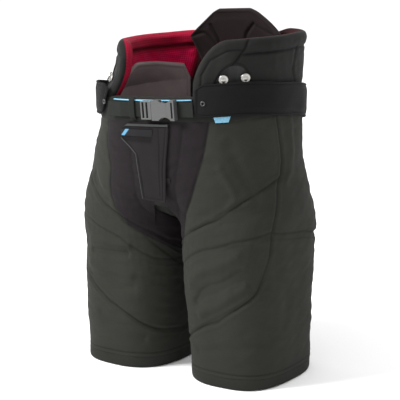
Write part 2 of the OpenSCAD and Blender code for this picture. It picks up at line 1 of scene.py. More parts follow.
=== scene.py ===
"""Padded ice hockey pants: cloth, pads, belt, floor, light and camera."""
import math
import bpy
import numpy as np
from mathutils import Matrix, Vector


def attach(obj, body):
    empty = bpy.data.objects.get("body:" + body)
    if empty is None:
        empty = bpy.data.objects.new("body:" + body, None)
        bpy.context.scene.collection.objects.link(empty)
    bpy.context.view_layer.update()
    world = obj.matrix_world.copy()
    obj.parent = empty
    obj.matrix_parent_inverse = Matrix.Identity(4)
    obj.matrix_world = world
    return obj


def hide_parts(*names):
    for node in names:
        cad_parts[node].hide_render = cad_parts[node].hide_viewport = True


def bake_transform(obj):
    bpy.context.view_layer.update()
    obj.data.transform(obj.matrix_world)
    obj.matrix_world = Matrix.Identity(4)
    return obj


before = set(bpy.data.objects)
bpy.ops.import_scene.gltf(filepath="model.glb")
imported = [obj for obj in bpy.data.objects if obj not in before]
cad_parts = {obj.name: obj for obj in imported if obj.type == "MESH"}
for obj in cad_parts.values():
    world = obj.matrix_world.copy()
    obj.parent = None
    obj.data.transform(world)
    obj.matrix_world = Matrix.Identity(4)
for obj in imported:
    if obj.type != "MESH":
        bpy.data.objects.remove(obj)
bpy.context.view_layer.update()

# Millimetres, as in the part's own source. placed() turns them into metres.
WAIST_W, WAIST_FRONT, WAIST_BACK, WAIST_Z, WAIST_TOP = 346.0, 137.0, 133.0, 452.0, 491.0
RISE, SWAY = 0.09, 6.0
HIP_W, SEAT_BACK, CROTCH_Z = 404.0, 139.0, 259.0
THIGH_W, THIGH_D, HEM_W, HEM_D, HEM_SPREAD, HEM_H = 196.0, 246.0, 172.0, 216.0, 110.0, 20.0
HIP_RADIUS = 145.0
AXIS_Z = CROTCH_Z + HIP_RADIUS
BLEND_TOP = CROTCH_Z + 90
SETTLE_Z = AXIS_Z - 38
LEG_SPLIT, LEG_Y = 4.0, 3.0
WING_TOP, WING_SEAT = 583.0, WAIST_TOP + 0.5
WING_START = {1: -71.5, -1: -66.5}
WING_BACK = 72.0
REACH = {1: 9.0, -1: -30.0}
TWIST = 0.8
ARCH = (-59.0, -31.0)
ARCH_TOP = 541.0
SPINE_TOP, SPINE_W, SPINE_TOP_W = 617.5, 190.0, 74.0
SPINE_MIDDLE, SPINE_STOOP, SPINE_CLEAR = 20.0, 33.0, (46.0, 17.0)
BAND_FRONT, BAND_BACK, BAND_H = -70.0, 74.0, 55.5
BAND_OUT, BAND_IN = -7.6, -4.4
BELT_Z = WAIST_Z + 21
WEB_W, WEB_Y = 25.0, -WAIST_FRONT - 0.5
FLY_TOP, FLY_H, FLY_X = WAIST_Z - 3, 132.0, 29.0
Y_SHIFT = 5.225
LEFT, RIGHT = 1, -1
SIDES = {"left": LEFT, "right": RIGHT}


def mix(a, b, t):
    """From a at t 0 to b at t 1 in a straight line."""
    return a + (b - a) * t


def ease(t):
    """Smooth step from 0 to 1: three t squared less two t cubed."""
    c = np.clip(t, 0, 1)
    return c * c * (3 - 2 * c)


def power(v, p):
    """Signed v to the power 2 / p, which squares off an ellipse."""
    return np.sign(v) * np.abs(v) ** (2 / p)


def bell(d, w):
    """Bell curve of the distance d with width w."""
    return np.exp(-(d / w) ** 2)


def trunk(angle, z, depth=0.0, reach=0.0):
    """Superellipse section at height z, depth under the surface: half-axes times cos and sin to the power 0.8.
    Above the waist it leans out by reach times height, or in by a curve that flattens towards the top."""
    angle, z, depth = np.broadcast_arrays(*(np.asarray(v, float) for v in (angle, z, depth)))
    s = np.clip((z - WAIST_TOP) / (WING_TOP - WAIST_TOP), 0, 1)
    out = reach * (s if reach > 0 else (1 - (1 - s) ** 2.2) * (1 + TWIST * np.clip(-angle / 60, 0, 1)))
    front = np.maximum(out, 0) / 3
    half = mix(HIP_W, WAIST_W, ease((z - CROTCH_Z) / (WAIST_Z - CROTCH_Z))) / 2
    back = mix(SEAT_BACK, WAIST_BACK, ease((z - BLEND_TOP) / (WAIST_Z - BLEND_TOP)))
    r = np.radians(angle)
    return np.stack([(half + out - depth) * power(np.cos(r), 2.5),
                     (np.where(angle < 0, WAIST_FRONT, back) + front - depth) * power(np.sin(r), 2.5), z], -1)


def leg(angle, z, depth=0.0):
    """Rounder superellipse round a leg's centre, which tapers from the crotch to the hem."""
    angle, z, depth = np.broadcast_arrays(*(np.asarray(v, float) for v in (angle, z, depth)))
    s = np.clip(z / CROTCH_Z, 0, 1)
    r = np.radians(angle)
    return np.stack([mix(HEM_SPREAD, LEG_SPLIT + THIGH_W / 2, s)
                     + (mix(HEM_W, THIGH_W, s) / 2 - depth) * power(np.cos(r), 2.7),
                     LEG_Y + (mix(HEM_D, THIGH_D, s) / 2 - depth) * power(np.sin(r), 2.7), z], -1)


def side_point(t, z, depth=0.0):
    """One side's surface. t 0..1 runs from front middle round the hip to back middle, 1..4/3 inside the leg.
    Trunk and leg sections mix by an ease of height between the crotch and the blend's top."""
    t, z, depth = np.broadcast_arrays(np.asarray(t, float), np.asarray(z, float), np.asarray(depth, float))
    w = np.where(t > 1, 1.0, ease((BLEND_TOP - z) / (BLEND_TOP - CROTCH_Z)))[..., None]
    return mix(trunk(180 * np.minimum(t, 1) - 90, z, depth), leg(270 * t - 135, z, depth), w)


def placed(points, side=LEFT):
    """Mirrors a left-hand point for the right, lets the waist settle towards the left, and gives metres."""
    p = np.array(points, float)
    p[..., 0] *= side
    s = ease((p[..., 2] - SETTLE_Z) / (WAIST_Z - SETTLE_Z))
    x = p[..., 0].copy()
    p[..., 0] += SWAY * s
    p[..., 2] += RISE * x * s
    p[..., 1] += Y_SHIFT
    return p / 1000


def on_belt(points):
    """Turns belt pieces about the belt's middle, as the waist's slope turns them, and gives metres."""
    p = np.array(points, float)
    turn = math.atan(RISE)
    x, z = p[..., 0].copy(), p[..., 2] - BELT_Z
    p[..., 0] = SWAY + x * math.cos(turn) - z * math.sin(turn)
    p[..., 2] = BELT_Z + x * math.sin(turn) + z * math.cos(turn)
    p[..., 1] += Y_SHIFT
    return p / 1000


def skew(angle, side):
    """The right-hand wing and band start a little further round."""
    return angle if side == LEFT else angle + 8 * np.clip((40 - angle) / 80, 0, 1)


def swell(points, height, flip=False):
    """Moves a grid of points along its own normals by height, in the grid's unit."""
    du, dv = np.gradient(points, axis=1), np.gradient(points, axis=0)
    n = np.cross(du, dv)
    n /= np.maximum(np.linalg.norm(n, axis=-1, keepdims=True), 1e-12)
    return points + n * (-1 if flip else 1) * np.asarray(height)[..., None]


def path_distance(u, v, path, scale):
    """Distance in mm from each (u, v) to a line through path's points; u counts scale mm for each 1."""
    best = np.full(np.broadcast(u, v).shape, 1e9)
    pts = np.array(path, float) * [scale, 1]
    for (ax, ay), (bx, by) in zip(pts[:-1], pts[1:]):
        dx, dy = bx - ax, by - ay
        s = np.clip(((u * scale - ax) * dx + (v - ay) * dy) / (dx * dx + dy * dy), 0, 1)
        best = np.minimum(best, np.hypot(u * scale - ax - s * dx, v - ay - s * dy))
    return best


def smooth_path(path, n=6):
    """A rounder line through the same points: Catmull-Rom, n steps for each span."""
    p = np.array([path[0]] + list(path) + [path[-1]], float)
    s = np.arange(n)[:, None] / n
    out = [0.5 * (2 * b + (c - a) * s + (2 * a - 5 * b + 4 * c - d) * s ** 2 + (3 * b - a - 3 * c + d) * s ** 3)
           for a, b, c, d in zip(p[:-3], p[1:-2], p[2:-1], p[3:])]
    return np.vstack(out + [p[-1:]])


def ripple(p, sizes, seed):
    """Sum of sines in space, one for each size in mm, with directions from a fixed seed; about -1 to 1."""
    rng = np.random.RandomState(seed)
    total = np.zeros(p.shape[:-1])
    for size in sizes:
        for _ in range(3):
            k = rng.normal(size=3)
            k *= 2 * np.pi / size / np.linalg.norm(k)
            total += np.sin(p @ k + rng.uniform(0, 6.28))
    return total / (3 * len(sizes)) ** 0.5


# ---- making pieces ----
def new_piece(name, verts, faces, material, uv=None, marks=None):
    """A smooth mesh object from arrays of vertices and faces, with a UV pair for each vertex."""
    mesh = bpy.data.meshes.new(name)
    mesh.from_pydata(verts.tolist(), [], faces.tolist())
    mesh.polygons.foreach_set("use_smooth", np.ones(len(mesh.polygons), bool))
    if uv is not None:
        loops = np.empty(len(mesh.loops), np.int32)
        mesh.loops.foreach_get("vertex_index", loops)
        mesh.uv_layers.new(name="UVMap").data.foreach_set("uv", uv[loops].astype(np.float32).ravel())
    for key, values in (marks or {}).items():
        mark = mesh.attributes.new(key, "FLOAT", "POINT")
        mark.data.foreach_set("value", values.astype(np.float32).ravel())
    mesh.materials.append(material)
    mesh.update()
    obj = bpy.data.objects.new(name, mesh)
    bpy.context.scene.collection.objects.link(obj)
    return obj


def grid_faces(rows, cols, wrap_cols=False, wrap_rows=False, flip=False):
    """Quads between neighbours on a grid of rows by cols."""
    r = np.arange(rows if wrap_rows else rows - 1)[:, None]
    c = np.arange(cols if wrap_cols else cols - 1)[None, :]
    r2, c2 = (r + 1) % rows, (c + 1) % cols
    quads = np.stack([r * cols + c, r * cols + c2, r2 * cols + c2, r2 * cols + c], -1).reshape(-1, 4)
    return quads[:, ::-1] if flip else quads


def grid_piece(name, points, material, wrap_cols=False, wrap_rows=False, flip=False, marks=None):
    """A piece from a grid of points in metres. Its UV runs along the rows and columns in metres."""
    rows, cols = points.shape[:2]
    across = np.linalg.norm(np.diff(points, axis=1), axis=-1)
    along = np.linalg.norm(np.diff(points, axis=0), axis=-1)
    u = np.concatenate([np.zeros((rows, 1)), np.cumsum(across, 1)], 1).mean(0)
    v = np.concatenate([np.zeros((1, cols)), np.cumsum(along, 0)], 0).mean(1)
    uv = np.stack([np.broadcast_to(u, (rows, cols)), np.broadcast_to(v[:, None], (rows, cols))], -1)
    return new_piece(name, points.reshape(-1, 3), grid_faces(rows, cols, wrap_cols, wrap_rows, flip),
                     material, uv.reshape(-1, 2), marks)


def closed_pair(name, front, back, material, flip=False, marks=None):
    """A closed pad: two grids of the same size joined round their rims."""
    rows, cols = front.shape[:2]
    n = rows * cols
    idx = np.arange(n).reshape(rows, cols)
    rim = np.concatenate([idx[0, :-1], idx[:-1, -1], idx[-1, :0:-1], idx[:0:-1, 0]])
    nxt = np.roll(rim, -1)
    faces = np.concatenate([grid_faces(rows, cols), grid_faces(rows, cols)[:, ::-1] + n,
                            np.stack([nxt, rim, rim + n, nxt + n], -1)])
    if flip:
        faces = faces[:, ::-1]
    if marks:
        marks = {k: np.concatenate([v.ravel(), v.ravel()]) for k, v in marks.items()}
    verts = np.concatenate([front.reshape(-1, 3), back.reshape(-1, 3)])
    square = np.meshgrid(np.linspace(0, 1, cols), np.linspace(0, 1, rows))
    uv = np.tile(np.stack(square, -1).reshape(-1, 2), (2, 1))
    return new_piece(name, verts, faces, material, uv, marks)


def lathe(profile, centre, axis, n=40):
    """Points and faces of a round shape: profile's (radius, height) points turned about an axis."""
    axis = np.array(axis, float) / np.linalg.norm(axis)
    across = np.cross(axis, [0, 0, 1.0]) if abs(axis[2]) < 0.9 else np.cross(axis, [1.0, 0, 0])
    across /= np.linalg.norm(across)
    other = np.cross(axis, across)
    a = np.linspace(0, 2 * np.pi, n, endpoint=False)
    prof = np.array(profile, float)
    ring = np.cos(a)[:, None] * across + np.sin(a)[:, None] * other
    pts = np.array(centre) + (prof[:, :1, None] * ring + prof[:, 1:, None] * axis) / 1000
    return pts, grid_faces(len(prof), n, wrap_cols=True)


def strip(name, middle, across, width, thick, material, to_metres):
    """Webbing or tape: a flat oval section width by thick carried along the middle line."""
    middle = np.array(middle, float)
    along = np.gradient(middle, axis=0)
    along /= np.linalg.norm(along, axis=1, keepdims=True)
    across = np.array(across, float)
    out = np.cross(along, across)
    out /= np.linalg.norm(out, axis=1, keepdims=True)
    a = np.linspace(0, 2 * np.pi, 28, endpoint=False)
    w, h = power(np.cos(a), 8) * width / 2, power(np.sin(a), 3) * thick / 2
    pts = middle[:, None] + w[None, :, None] * across + h[None, :, None] * out[:, None]
    ends = np.stack([pts[0].mean(0)[None].repeat(28, 0), pts[-1].mean(0)[None].repeat(28, 0)])
    pts = np.concatenate([ends[:1], pts, ends[1:]])
    return grid_piece(name, to_metres(pts), material, wrap_cols=True)


# ---- materials ----
def socket_in(tree, name, default):
    """A number that a node group takes in, with its usual value."""
    s = tree.interface.new_socket(name=name, in_out="INPUT", socket_type="NodeSocketFloat")
    s.default_value = default


def weave_group():
    """Crossed threads and soft blotches: two fine waves on the surface's own map and broad noise in space."""
    tree = bpy.data.node_groups.new("cloth_weave", "ShaderNodeTree")
    socket_in(tree, "Threads", 900.0)
    socket_in(tree, "Blotch", 30.0)
    for name in ("Height", "Tone"):
        tree.interface.new_socket(name=name, in_out="OUTPUT", socket_type="NodeSocketFloat")
    nodes, link = tree.nodes, tree.links.new
    gin, gout = nodes.new("NodeGroupInput"), nodes.new("NodeGroupOutput")
    coord = nodes.new("ShaderNodeTexCoord")
    waves = []
    for direction in ("X", "Y"):
        wave = nodes.new("ShaderNodeTexWave")
        wave.bands_direction = direction
        link(coord.outputs["UV"], wave.inputs["Vector"])
        link(gin.outputs["Threads"], wave.inputs["Scale"])
        waves.append(wave)
    both = nodes.new("ShaderNodeMath")
    both.operation = "MULTIPLY"
    link(waves[0].outputs["Fac"], both.inputs[0])
    link(waves[1].outputs["Fac"], both.inputs[1])
    blot = nodes.new("ShaderNodeTexNoise")
    blot.inputs["Detail"].default_value = 5
    link(coord.outputs["Object"], blot.inputs["Vector"])
    link(gin.outputs["Blotch"], blot.inputs["Scale"])
    fine = nodes.new("ShaderNodeTexNoise")
    fine.inputs["Scale"].default_value = 700
    link(coord.outputs["Object"], fine.inputs["Vector"])
    tone = nodes.new("ShaderNodeMath")
    tone.operation = "MULTIPLY_ADD"
    tone.inputs[1].default_value = 0.5
    link(fine.outputs["Fac"], tone.inputs[0])
    half = nodes.new("ShaderNodeMath")
    half.operation = "MULTIPLY"
    half.inputs[1].default_value = 0.5
    link(blot.outputs["Fac"], half.inputs[0])
    link(half.outputs[0], tone.inputs[2])
    link(both.outputs[0], gout.inputs["Height"])
    link(tone.outputs[0], gout.inputs["Tone"])
    return tree


def holes_group():
    """Rows of small round holes on the surface's own map: 0.45 inside a hole and 1 between them."""
    tree = bpy.data.node_groups.new("mesh_holes", "ShaderNodeTree")
    socket_in(tree, "Scale", 250.0)
    tree.interface.new_socket(name="Value", in_out="OUTPUT", socket_type="NodeSocketFloat")
    nodes, link = tree.nodes, tree.links.new
    gin, gout = nodes.new("NodeGroupInput"), nodes.new("NodeGroupOutput")
    kinds = ("ShaderNodeTexCoord", "ShaderNodeTexVoronoi", "ShaderNodeMapRange")
    coord, cells, step = (nodes.new(n) for n in kinds)
    cells.inputs["Randomness"].default_value = 0.0
    link(coord.outputs["UV"], cells.inputs["Vector"])
    link(gin.outputs["Scale"], cells.inputs["Scale"])
    link(cells.outputs["Distance"], step.inputs["Value"])
    step.inputs["From Min"].default_value = 0.2
    step.inputs["From Max"].default_value = 0.42
    step.inputs["To Min"].default_value = 0.45
    link(step.outputs["Result"], gout.inputs["Value"])
    return tree


WEAVE = weave_group()
HOLES = holes_group()


def cloth(name, colour, second=None, rough=0.85, threads=900.0, bump=0.25, sheen=0.02, vary=0.25, dark=0.45,
          spec=0.1, holes=0.0):
    """A woven cloth. Where the piece's panel mark is 1 it takes the second colour, and the seam mark darkens it:
    partly the sewn lines, partly painted shade in their grooves.
    """
    m = bpy.data.materials.new(name)
    m.use_nodes = True
    nodes, link = m.node_tree.nodes, m.node_tree.links.new
    bsdf = nodes["Principled BSDF"]
    g = nodes.new("ShaderNodeGroup")
    g.node_tree = WEAVE
    g.inputs["Threads"].default_value = threads
    base = nodes.new("ShaderNodeMix")
    base.data_type = "RGBA"
    base.inputs["A"].default_value = (*colour, 1)
    base.inputs["B"].default_value = (*(second or colour), 1)
    mark = nodes.new("ShaderNodeAttribute")
    mark.attribute_name = "panel"
    link(mark.outputs["Fac"], base.inputs["Factor"])
    tone = nodes.new("ShaderNodeMapRange")
    tone.inputs["From Min"].default_value = 0.3
    tone.inputs["From Max"].default_value = 0.7
    tone.inputs["To Min"].default_value = 1 - vary
    tone.inputs["To Max"].default_value = 1 + vary
    link(g.outputs["Tone"], tone.inputs["Value"])
    # Seam mark: darkens the sewn lines, partly as painted shade in their grooves.
    seam = nodes.new("ShaderNodeAttribute")
    seam.attribute_name = "seam"
    shade = nodes.new("ShaderNodeMath")
    shade.operation = "MULTIPLY_ADD"
    shade.inputs[1].default_value = -dark
    shade.inputs[2].default_value = 1
    link(seam.outputs["Fac"], shade.inputs[0])
    both = nodes.new("ShaderNodeMath")
    both.operation = "MULTIPLY"
    link(tone.outputs["Result"], both.inputs[0])
    link(shade.outputs[0], both.inputs[1])
    if holes:
        spots = nodes.new("ShaderNodeGroup")
        spots.node_tree = HOLES
        spots.inputs["Scale"].default_value = holes
        open_mesh = nodes.new("ShaderNodeMath")
        open_mesh.operation = "MULTIPLY"
        link(both.outputs[0], open_mesh.inputs[0])
        link(spots.outputs["Value"], open_mesh.inputs[1])
        both = open_mesh
    scale = nodes.new("ShaderNodeVectorMath")
    scale.operation = "SCALE"
    link(base.outputs["Result"], scale.inputs[0])
    link(both.outputs[0], scale.inputs["Scale"])
    link(scale.outputs["Vector"], bsdf.inputs["Base Color"])
    b = nodes.new("ShaderNodeBump")
    b.inputs["Strength"].default_value = bump
    b.inputs["Distance"].default_value = 0.0004
    link(g.outputs["Height"], b.inputs["Height"])
    link(b.outputs["Normal"], bsdf.inputs["Normal"])
    bsdf.inputs["Roughness"].default_value = rough
    bsdf.inputs["Sheen Weight"].default_value = sheen
    bsdf.inputs["Sheen Roughness"].default_value = 0.4
    bsdf.inputs["Specular IOR Level"].default_value = spec
    return m


def plain(name, colour, rough=0.4, metal=0.0, spec=0.5, coat=0.0):
    """Plastic or metal with slightly uneven gloss."""
    m = bpy.data.materials.new(name)
    m.use_nodes = True
    nodes, link = m.node_tree.nodes, m.node_tree.links.new
    bsdf = nodes["Principled BSDF"]
    bsdf.inputs["Base Color"].default_value = (*colour, 1)
    bsdf.inputs["Metallic"].default_value = metal
    bsdf.inputs["Specular IOR Level"].default_value = spec
    bsdf.inputs["Coat Weight"].default_value = coat
    kinds = ("ShaderNodeTexCoord", "ShaderNodeTexNoise", "ShaderNodeMapRange")
    coord, noise, rng = (nodes.new(n) for n in kinds)
    noise.inputs["Scale"].default_value = 220
    link(coord.outputs["Object"], noise.inputs["Vector"])
    link(noise.outputs["Fac"], rng.inputs["Value"])
    rng.inputs["To Min"].default_value = rough - 0.08
    rng.inputs["To Max"].default_value = rough + 0.08
    link(rng.outputs["Result"], bsdf.inputs["Roughness"])
    return m


# The main cloth's second colour is the darker stretch panel; on the inner walls the same colour is painted shade
# on the inner thigh.
MAIN = cloth("trouser_cloth", (0.0195, 0.0198, 0.0165), (0.0105, 0.0085, 0.0098), threads=1400, vary=0.12)
HEM = cloth("hem_cloth", (0.017, 0.0172, 0.0148), threads=1400, vary=0.12)
# The gusset is darker than the main cloth: its own black, darkened further as painted shade between the legs.
GUSSET_WITH_SHADE = cloth("gusset_cloth_with_painted_shade", (0.013, 0.013, 0.0115), vary=0.12)
LINER = cloth("lining_mesh", (0.012, 0.012, 0.013), threads=500, bump=0.5)
WAISTCLOTH = cloth("waistband_cloth", (0.0115, 0.0125, 0.011), vary=0.12)
WINGCLOTH = cloth("wing_cloth", (0.0115, 0.0115, 0.011), rough=0.8, vary=0.12)
ARCHCLOTH = cloth("arch_cloth", (0.011, 0.011, 0.011), rough=0.6, spec=0.3)
RED = cloth("red_lining", (0.31, 0.004, 0.028), (0.85, 0.009, 0.095), threads=330, bump=0.9, vary=0.2, dark=0.6,
            holes=260.0)
COMFORT = cloth("comfort_cloth", (0.25, 0.21, 0.21), vary=0.1)
SPINE = cloth("spine_cloth", (0.014, 0.0095, 0.0095), vary=0.15)
BANDCLOTH = cloth("hip_band_cloth", (0.0045, 0.0045, 0.0045), rough=0.75, vary=0.1)
WEBBING = cloth("belt_webbing", (0.0135, 0.0148, 0.013), threads=420, bump=0.8, vary=0.15)
FLYCLOTH = cloth("fly_cloth", (0.0105, 0.0092, 0.010), (0.0055, 0.0048, 0.005), vary=0.1)
TRIM = cloth("grey_trim", (0.03, 0.031, 0.031), rough=0.6, threads=500)
LABEL = cloth("label_cloth", (0.008, 0.008, 0.009), (0.08, 0.22, 0.34), rough=0.6, threads=1800)
BLUE = cloth("blue_trim", (0.17, 0.37, 0.5), rough=0.55, threads=900)
METAL = plain("button_metal", (0.36, 0.35, 0.33), 0.34, 1.0)
EYELET = plain("eyelet_metal", (0.05, 0.05, 0.052), 0.35, 0.6)
PLASTIC = plain("buckle_plastic", (0.05, 0.0515, 0.05), 0.4)
GUARD = plain("guard_plastic", (0.016, 0.0163, 0.0145), 0.7, spec=0.15)
FOAM = plain("pad_foam", (0.02, 0.02, 0.018), 0.9, spec=0.1)
TAPE = cloth("touch_tape", (0.015, 0.015, 0.015), threads=700, bump=0.9)

# ---- legs and hips ----
# Seams and folds as lines of (t, height). MM is a side's length in mm for each 1 of t.
SIDE_SEAM = [(0.445, 452), (0.47, 398), (0.458, 368), (0.428, 345), (0.398, 278), (0.388, 233), (0.362, 202),
             (0.33, 174), (0.298, 161), (0.2, 131), (0.15, 109), (0.04, 81), (-0.05, 68), (-0.15, 60)]
DIAGONAL = [(0.442, 358), (0.41, 354), (0.287, 331), (0.215, 311), (0.137, 278), (0.072, 260), (0, 246),
            (-0.08, 226), (-0.16, 210)]
OVERLAP = [(-0.1, 195), (0, 203), (0.053, 214), (0.18, 250), (0.238, 262), (0.39, 275), (0.474, 266),
           (0.605, 246), (0.8, 232), (1, 222)]
# The stretch panel's outer edge. Its points at t 0 and below carry it onto the inner wall, where the darker
# colour inside it is painted shade on the inner thigh.
STRETCH_OUT = {
    LEFT: [(0.162, 452), (0.143, 400), (0.109, 350), (0.09, 317), (0.038, 251), (0, 236), (-0.12, 206)],
    RIGHT: [(0.2, 452), (0.19, 410), (0.142, 360), (0.145, 303), (0.134, 280), (0.11, 262), (0, 236),
            (-0.12, 206)]}
STRETCH_IN = [(0.072, 452), (0.064, 399), (0.048, 347), (0.045, 310), (0.03, 290), (0, 275)]
BACK_SEAM = [(0.72, 452), (0.74, 380), (0.76, 300), (0.74, 232)]
SEAT_SEAM = [(0.74, 345), (0.85, 330), (1, 322)]
MM = 540.0


def below(path, t):
    """Height of a path at t."""
    p = np.array(sorted(path))
    return np.interp(t, p[:, 0], p[:, 1])


def across_at(path, z):
    """t of a falling path at height z."""
    p = np.array(path)[::-1]
    return np.interp(z, p[:, 1], p[:, 0])


def cloth_height(t, z, side, p):
    """How far the cloth stands off its plain form: sewn grooves, padding between them, folds and ripples.
    Grooves and folds are bell curves of the distance to a path."""
    t = np.where(t > 7 / 6, t - 4 / 3, t)
    d_side = path_distance(t, z, smooth_path(SIDE_SEAM), MM)
    d_diag = path_distance(t, z, smooth_path(DIAGONAL), MM)
    d_out = path_distance(t, z, smooth_path(STRETCH_OUT[side]), MM)
    d_in = path_distance(t, z, smooth_path(STRETCH_IN), MM)
    d_back = np.minimum(path_distance(t, z, smooth_path(BACK_SEAM), MM), path_distance(t, z, SEAT_SEAM, MM))
    t_edge = np.abs(np.minimum(t, 1 - t)) * MM + 80 * ease((CROTCH_Z + 14 - z) / 22)
    nearest = np.minimum.reduce([d_side, d_diag, d_out, d_in, d_back, t_edge + 2])
    h = 2.2 * (1 - np.exp(-(nearest / 16) ** 1.2)) - 1.2
    h += -1.8 * bell(d_side, 2.0) - 1.7 * bell(d_diag, 2.0) - 1.2 * bell(d_out, 2.2) - 0.9 * bell(d_in, 2.2)
    h += -1.3 * bell(d_back, 2.2)
    h += 0.9 * bell(d_side - 7, 3.0) + 0.7 * bell(d_diag - 7, 3.2) + 0.5 * bell(d_back - 7, 3.2)
    # The hip panel laps over the thigh: a step under its edge that grows towards the back.
    over = below(OVERLAP, t)
    grow = 0.35 + 0.65 * ease((t - 0.38) / 0.15)
    h += grow * 2.6 * (ease((z - over) / 5) - 0.5) * np.exp(-np.maximum(z - over, 0) / 45) * (z > over - 12)
    h += -1.6 * grow * bell(z - over + 2, 3.0)
    seat_fold = path_distance(t, z, [(0.5, 322), (0.62, 314), (0.9, 308)], MM)
    h += -1.6 * bell(seat_fold, 8.0) * ease((t - 0.48) / 0.1)
    h += 2.4 * bell(path_distance(t, z, [(0.505, 440), (0.516, 394), (0.497, 366), (0.47, 350)], MM), 6.5)
    if side == LEFT:
        folds = [([(0.111, 147), (0.172, 176), (0.26, 205)], 9, -2.6),
                 ([(0.13, 128), (0.2, 158), (0.28, 186)], 11, 1.8),
                 ([(0.09, 180), (0.17, 214), (0.25, 236)], 12, 1.6),
                 ([(0.2, 300), (0.3, 308), (0.38, 318)], 12, -1.4),
                 ([(0.24, 410), (0.3, 360), (0.33, 330)], 16, -1.3),
                 ([(0.33, 250), (0.3, 205), (0.24, 180)], 12, -1.6),
                 ([(0.42, 190), (0.47, 150), (0.45, 110)], 15, -1.2),
                 ([(0.1, 60), (0.25, 72), (0.38, 90)], 12, -1.1),
                 ([(0.2, 380), (0.24, 340), (0.22, 318)], 10, 1.2)]
    else:
        folds = [([(0.23, 205), (0.165, 207), (0.115, 209)], 7, -2.6),
                 ([(0.24, 224), (0.165, 228), (0.11, 226)], 9, 1.8),
                 ([(0.25, 180), (0.17, 176), (0.1, 170)], 10, 1.5),
                 ([(0.25, 155), (0.17, 150), (0.09, 150)], 12, -1.6),
                 ([(0.24, 340), (0.2, 320), (0.17, 300)], 10, -1.8),
                 ([(0.02, 238), (-0.05, 214), (-0.13, 185)], 6, -1.6),
                 ([(0.2, 90), (0.12, 70), (0.04, 55)], 12, -1.2)]
    for path, width, lift in folds:
        h += 1.9 * lift * bell(path_distance(t, z, smooth_path(path), MM), 0.8 * width)
    soft = ease((z - 15) / 40)
    h += soft * (1.1 * ripple(p, (150, 95, 70), 11) + 0.35 * ripple(p * [1, 1, 1.7], (38, 27), 5))
    h += 0.12 * ripple(p * [1, 1, 1.3], (16, 12), 8) * soft
    # A sewn line above the hem.
    h += -1.0 * bell(z - 27, 1.6)
    # Marks that darken the colour along the sewn lines and the hem line: partly the seams, partly painted shade
    # in their grooves, and a painted shadow under the hip panel's lapped edge.
    seam = np.maximum.reduce([bell(d_side, 1.8), bell(d_diag, 1.8), 0.8 * bell(z - over + 1, 2.2),
                              bell(d_out, 2.0), 0.7 * bell(d_in, 2.0), bell(d_back, 2.4),
                              0.8 * bell(z - 27, 1.4)])
    # The darker stretch panel mark; past the leg's front edge, on the inner wall, it is painted shade on the
    # inner thigh.
    stretch_and_thigh_shade = (ease((across_at(STRETCH_OUT[side], z) - t) * MM / 3 + 0.5)
               * ease((z - 208) / 8) * (t < 0.3))
    return np.clip(h, -2.1, 6.0), seam, stretch_and_thigh_shade


def leg_cloth(name, side):
    """The outer cloth of one side from the hem to the waist: heights in rows, t in columns."""
    z = np.concatenate([[HEM_H - 1.5], np.linspace(HEM_H + 0.6, WAIST_Z, 330)])[:, None]
    t = np.linspace(0, 1, 236)[None, :]
    base = side_point(t, z)
    h, seam, stretch_and_thigh_shade = cloth_height(t + 0 * z, z + 0 * t, side, base)
    top = ease((WAIST_Z - z) / 6)
    h = mix(-1.0, h, top) - 2.5 * bell(z - HEM_H + 1.5, 0.8)
    h *= mix(ease(np.minimum(t, 1 - t) * 30 + 0.2), 1, ease((BLEND_TOP - z) / 60))
    pts = placed(swell(base, h), side)
    return grid_piece(name, pts, MAIN, flip=side == RIGHT, marks={"seam": seam, "panel": stretch_and_thigh_shade})


def inner_wall(name, side):
    """The inner side of a leg, from the hem up to the circle round the hip axis."""
    t = np.linspace(1, 4 / 3, 80)[None, :]
    y = leg(270 * t - 135, CROTCH_Z)[..., 1]
    high = AXIS_Z - np.sqrt(np.maximum((HIP_RADIUS + 1.4) ** 2 - y ** 2, 0))
    z = mix(HEM_H - 1.5, high, np.linspace(0, 1, 190)[:, None])
    base = side_point(np.broadcast_to(t, z.shape), z)
    h, seam, stretch_and_thigh_shade = cloth_height(np.broadcast_to(t, z.shape), z, side, base)
    inward = ease(np.minimum(t - 1, 4 / 3 - t) * 12)
    h = mix(h, np.clip(h, -1.5, 2.0), inward) - 2.5 * bell(z - HEM_H + 1.5, 0.8)
    pts = placed(swell(base, h), side)
    # On this inner wall the panel mark is painted shade on the inner thigh.
    return grid_piece(name, pts, MAIN, flip=side == RIGHT, marks={"seam": seam, "panel": stretch_and_thigh_shade})


def hem_ring(name, side):
    """The folded hem: a flat loop round the leg, rounded at the floor, with soft waves in its height."""
    t = np.linspace(0, 4 / 3, 200, endpoint=False)[None, :]
    loop = [(15.9, 12), (16.2, 4), (15.2, 1.2), (12.6, 0.2), (4, 0), (0.8, 0.5), (-0.6, 2.2), (-1.0, 6),
            (-0.9, 12), (-0.7, 18), (-0.1, 20), (1.4, 20.4), (14.0, 20.4)]
    prof = smooth_path(loop + loop[:1], 3)[:-1]
    depth, z = prof[:, :1], prof[:, 1:]
    base = side_point(np.broadcast_to(t, (len(prof), 200)), z + 0 * t, depth + 0 * t)
    wave = 0.6 * ripple(base, (90, 60), 21)
    base = leg(270 * t - 135, z + 0 * t, depth + wave * (depth < 8))
    return grid_piece(name, placed(base, side), HEM, wrap_cols=True, wrap_rows=True, flip=side == LEFT)


def leg_liner(name, side):
    """The lining inside one leg."""
    t = np.linspace(0, 4 / 3, 100, endpoint=False)[None, :]
    z = np.linspace(8, 262, 60)[:, None]
    base = leg(270 * t - 135, z, 15.9)
    base = leg(270 * t - 135, z + 0 * t, 15.9 - 0.5 * ripple(base, (60, 35), 9))
    return grid_piece(name, placed(base, side), LINER, wrap_cols=True, flip=side == LEFT)


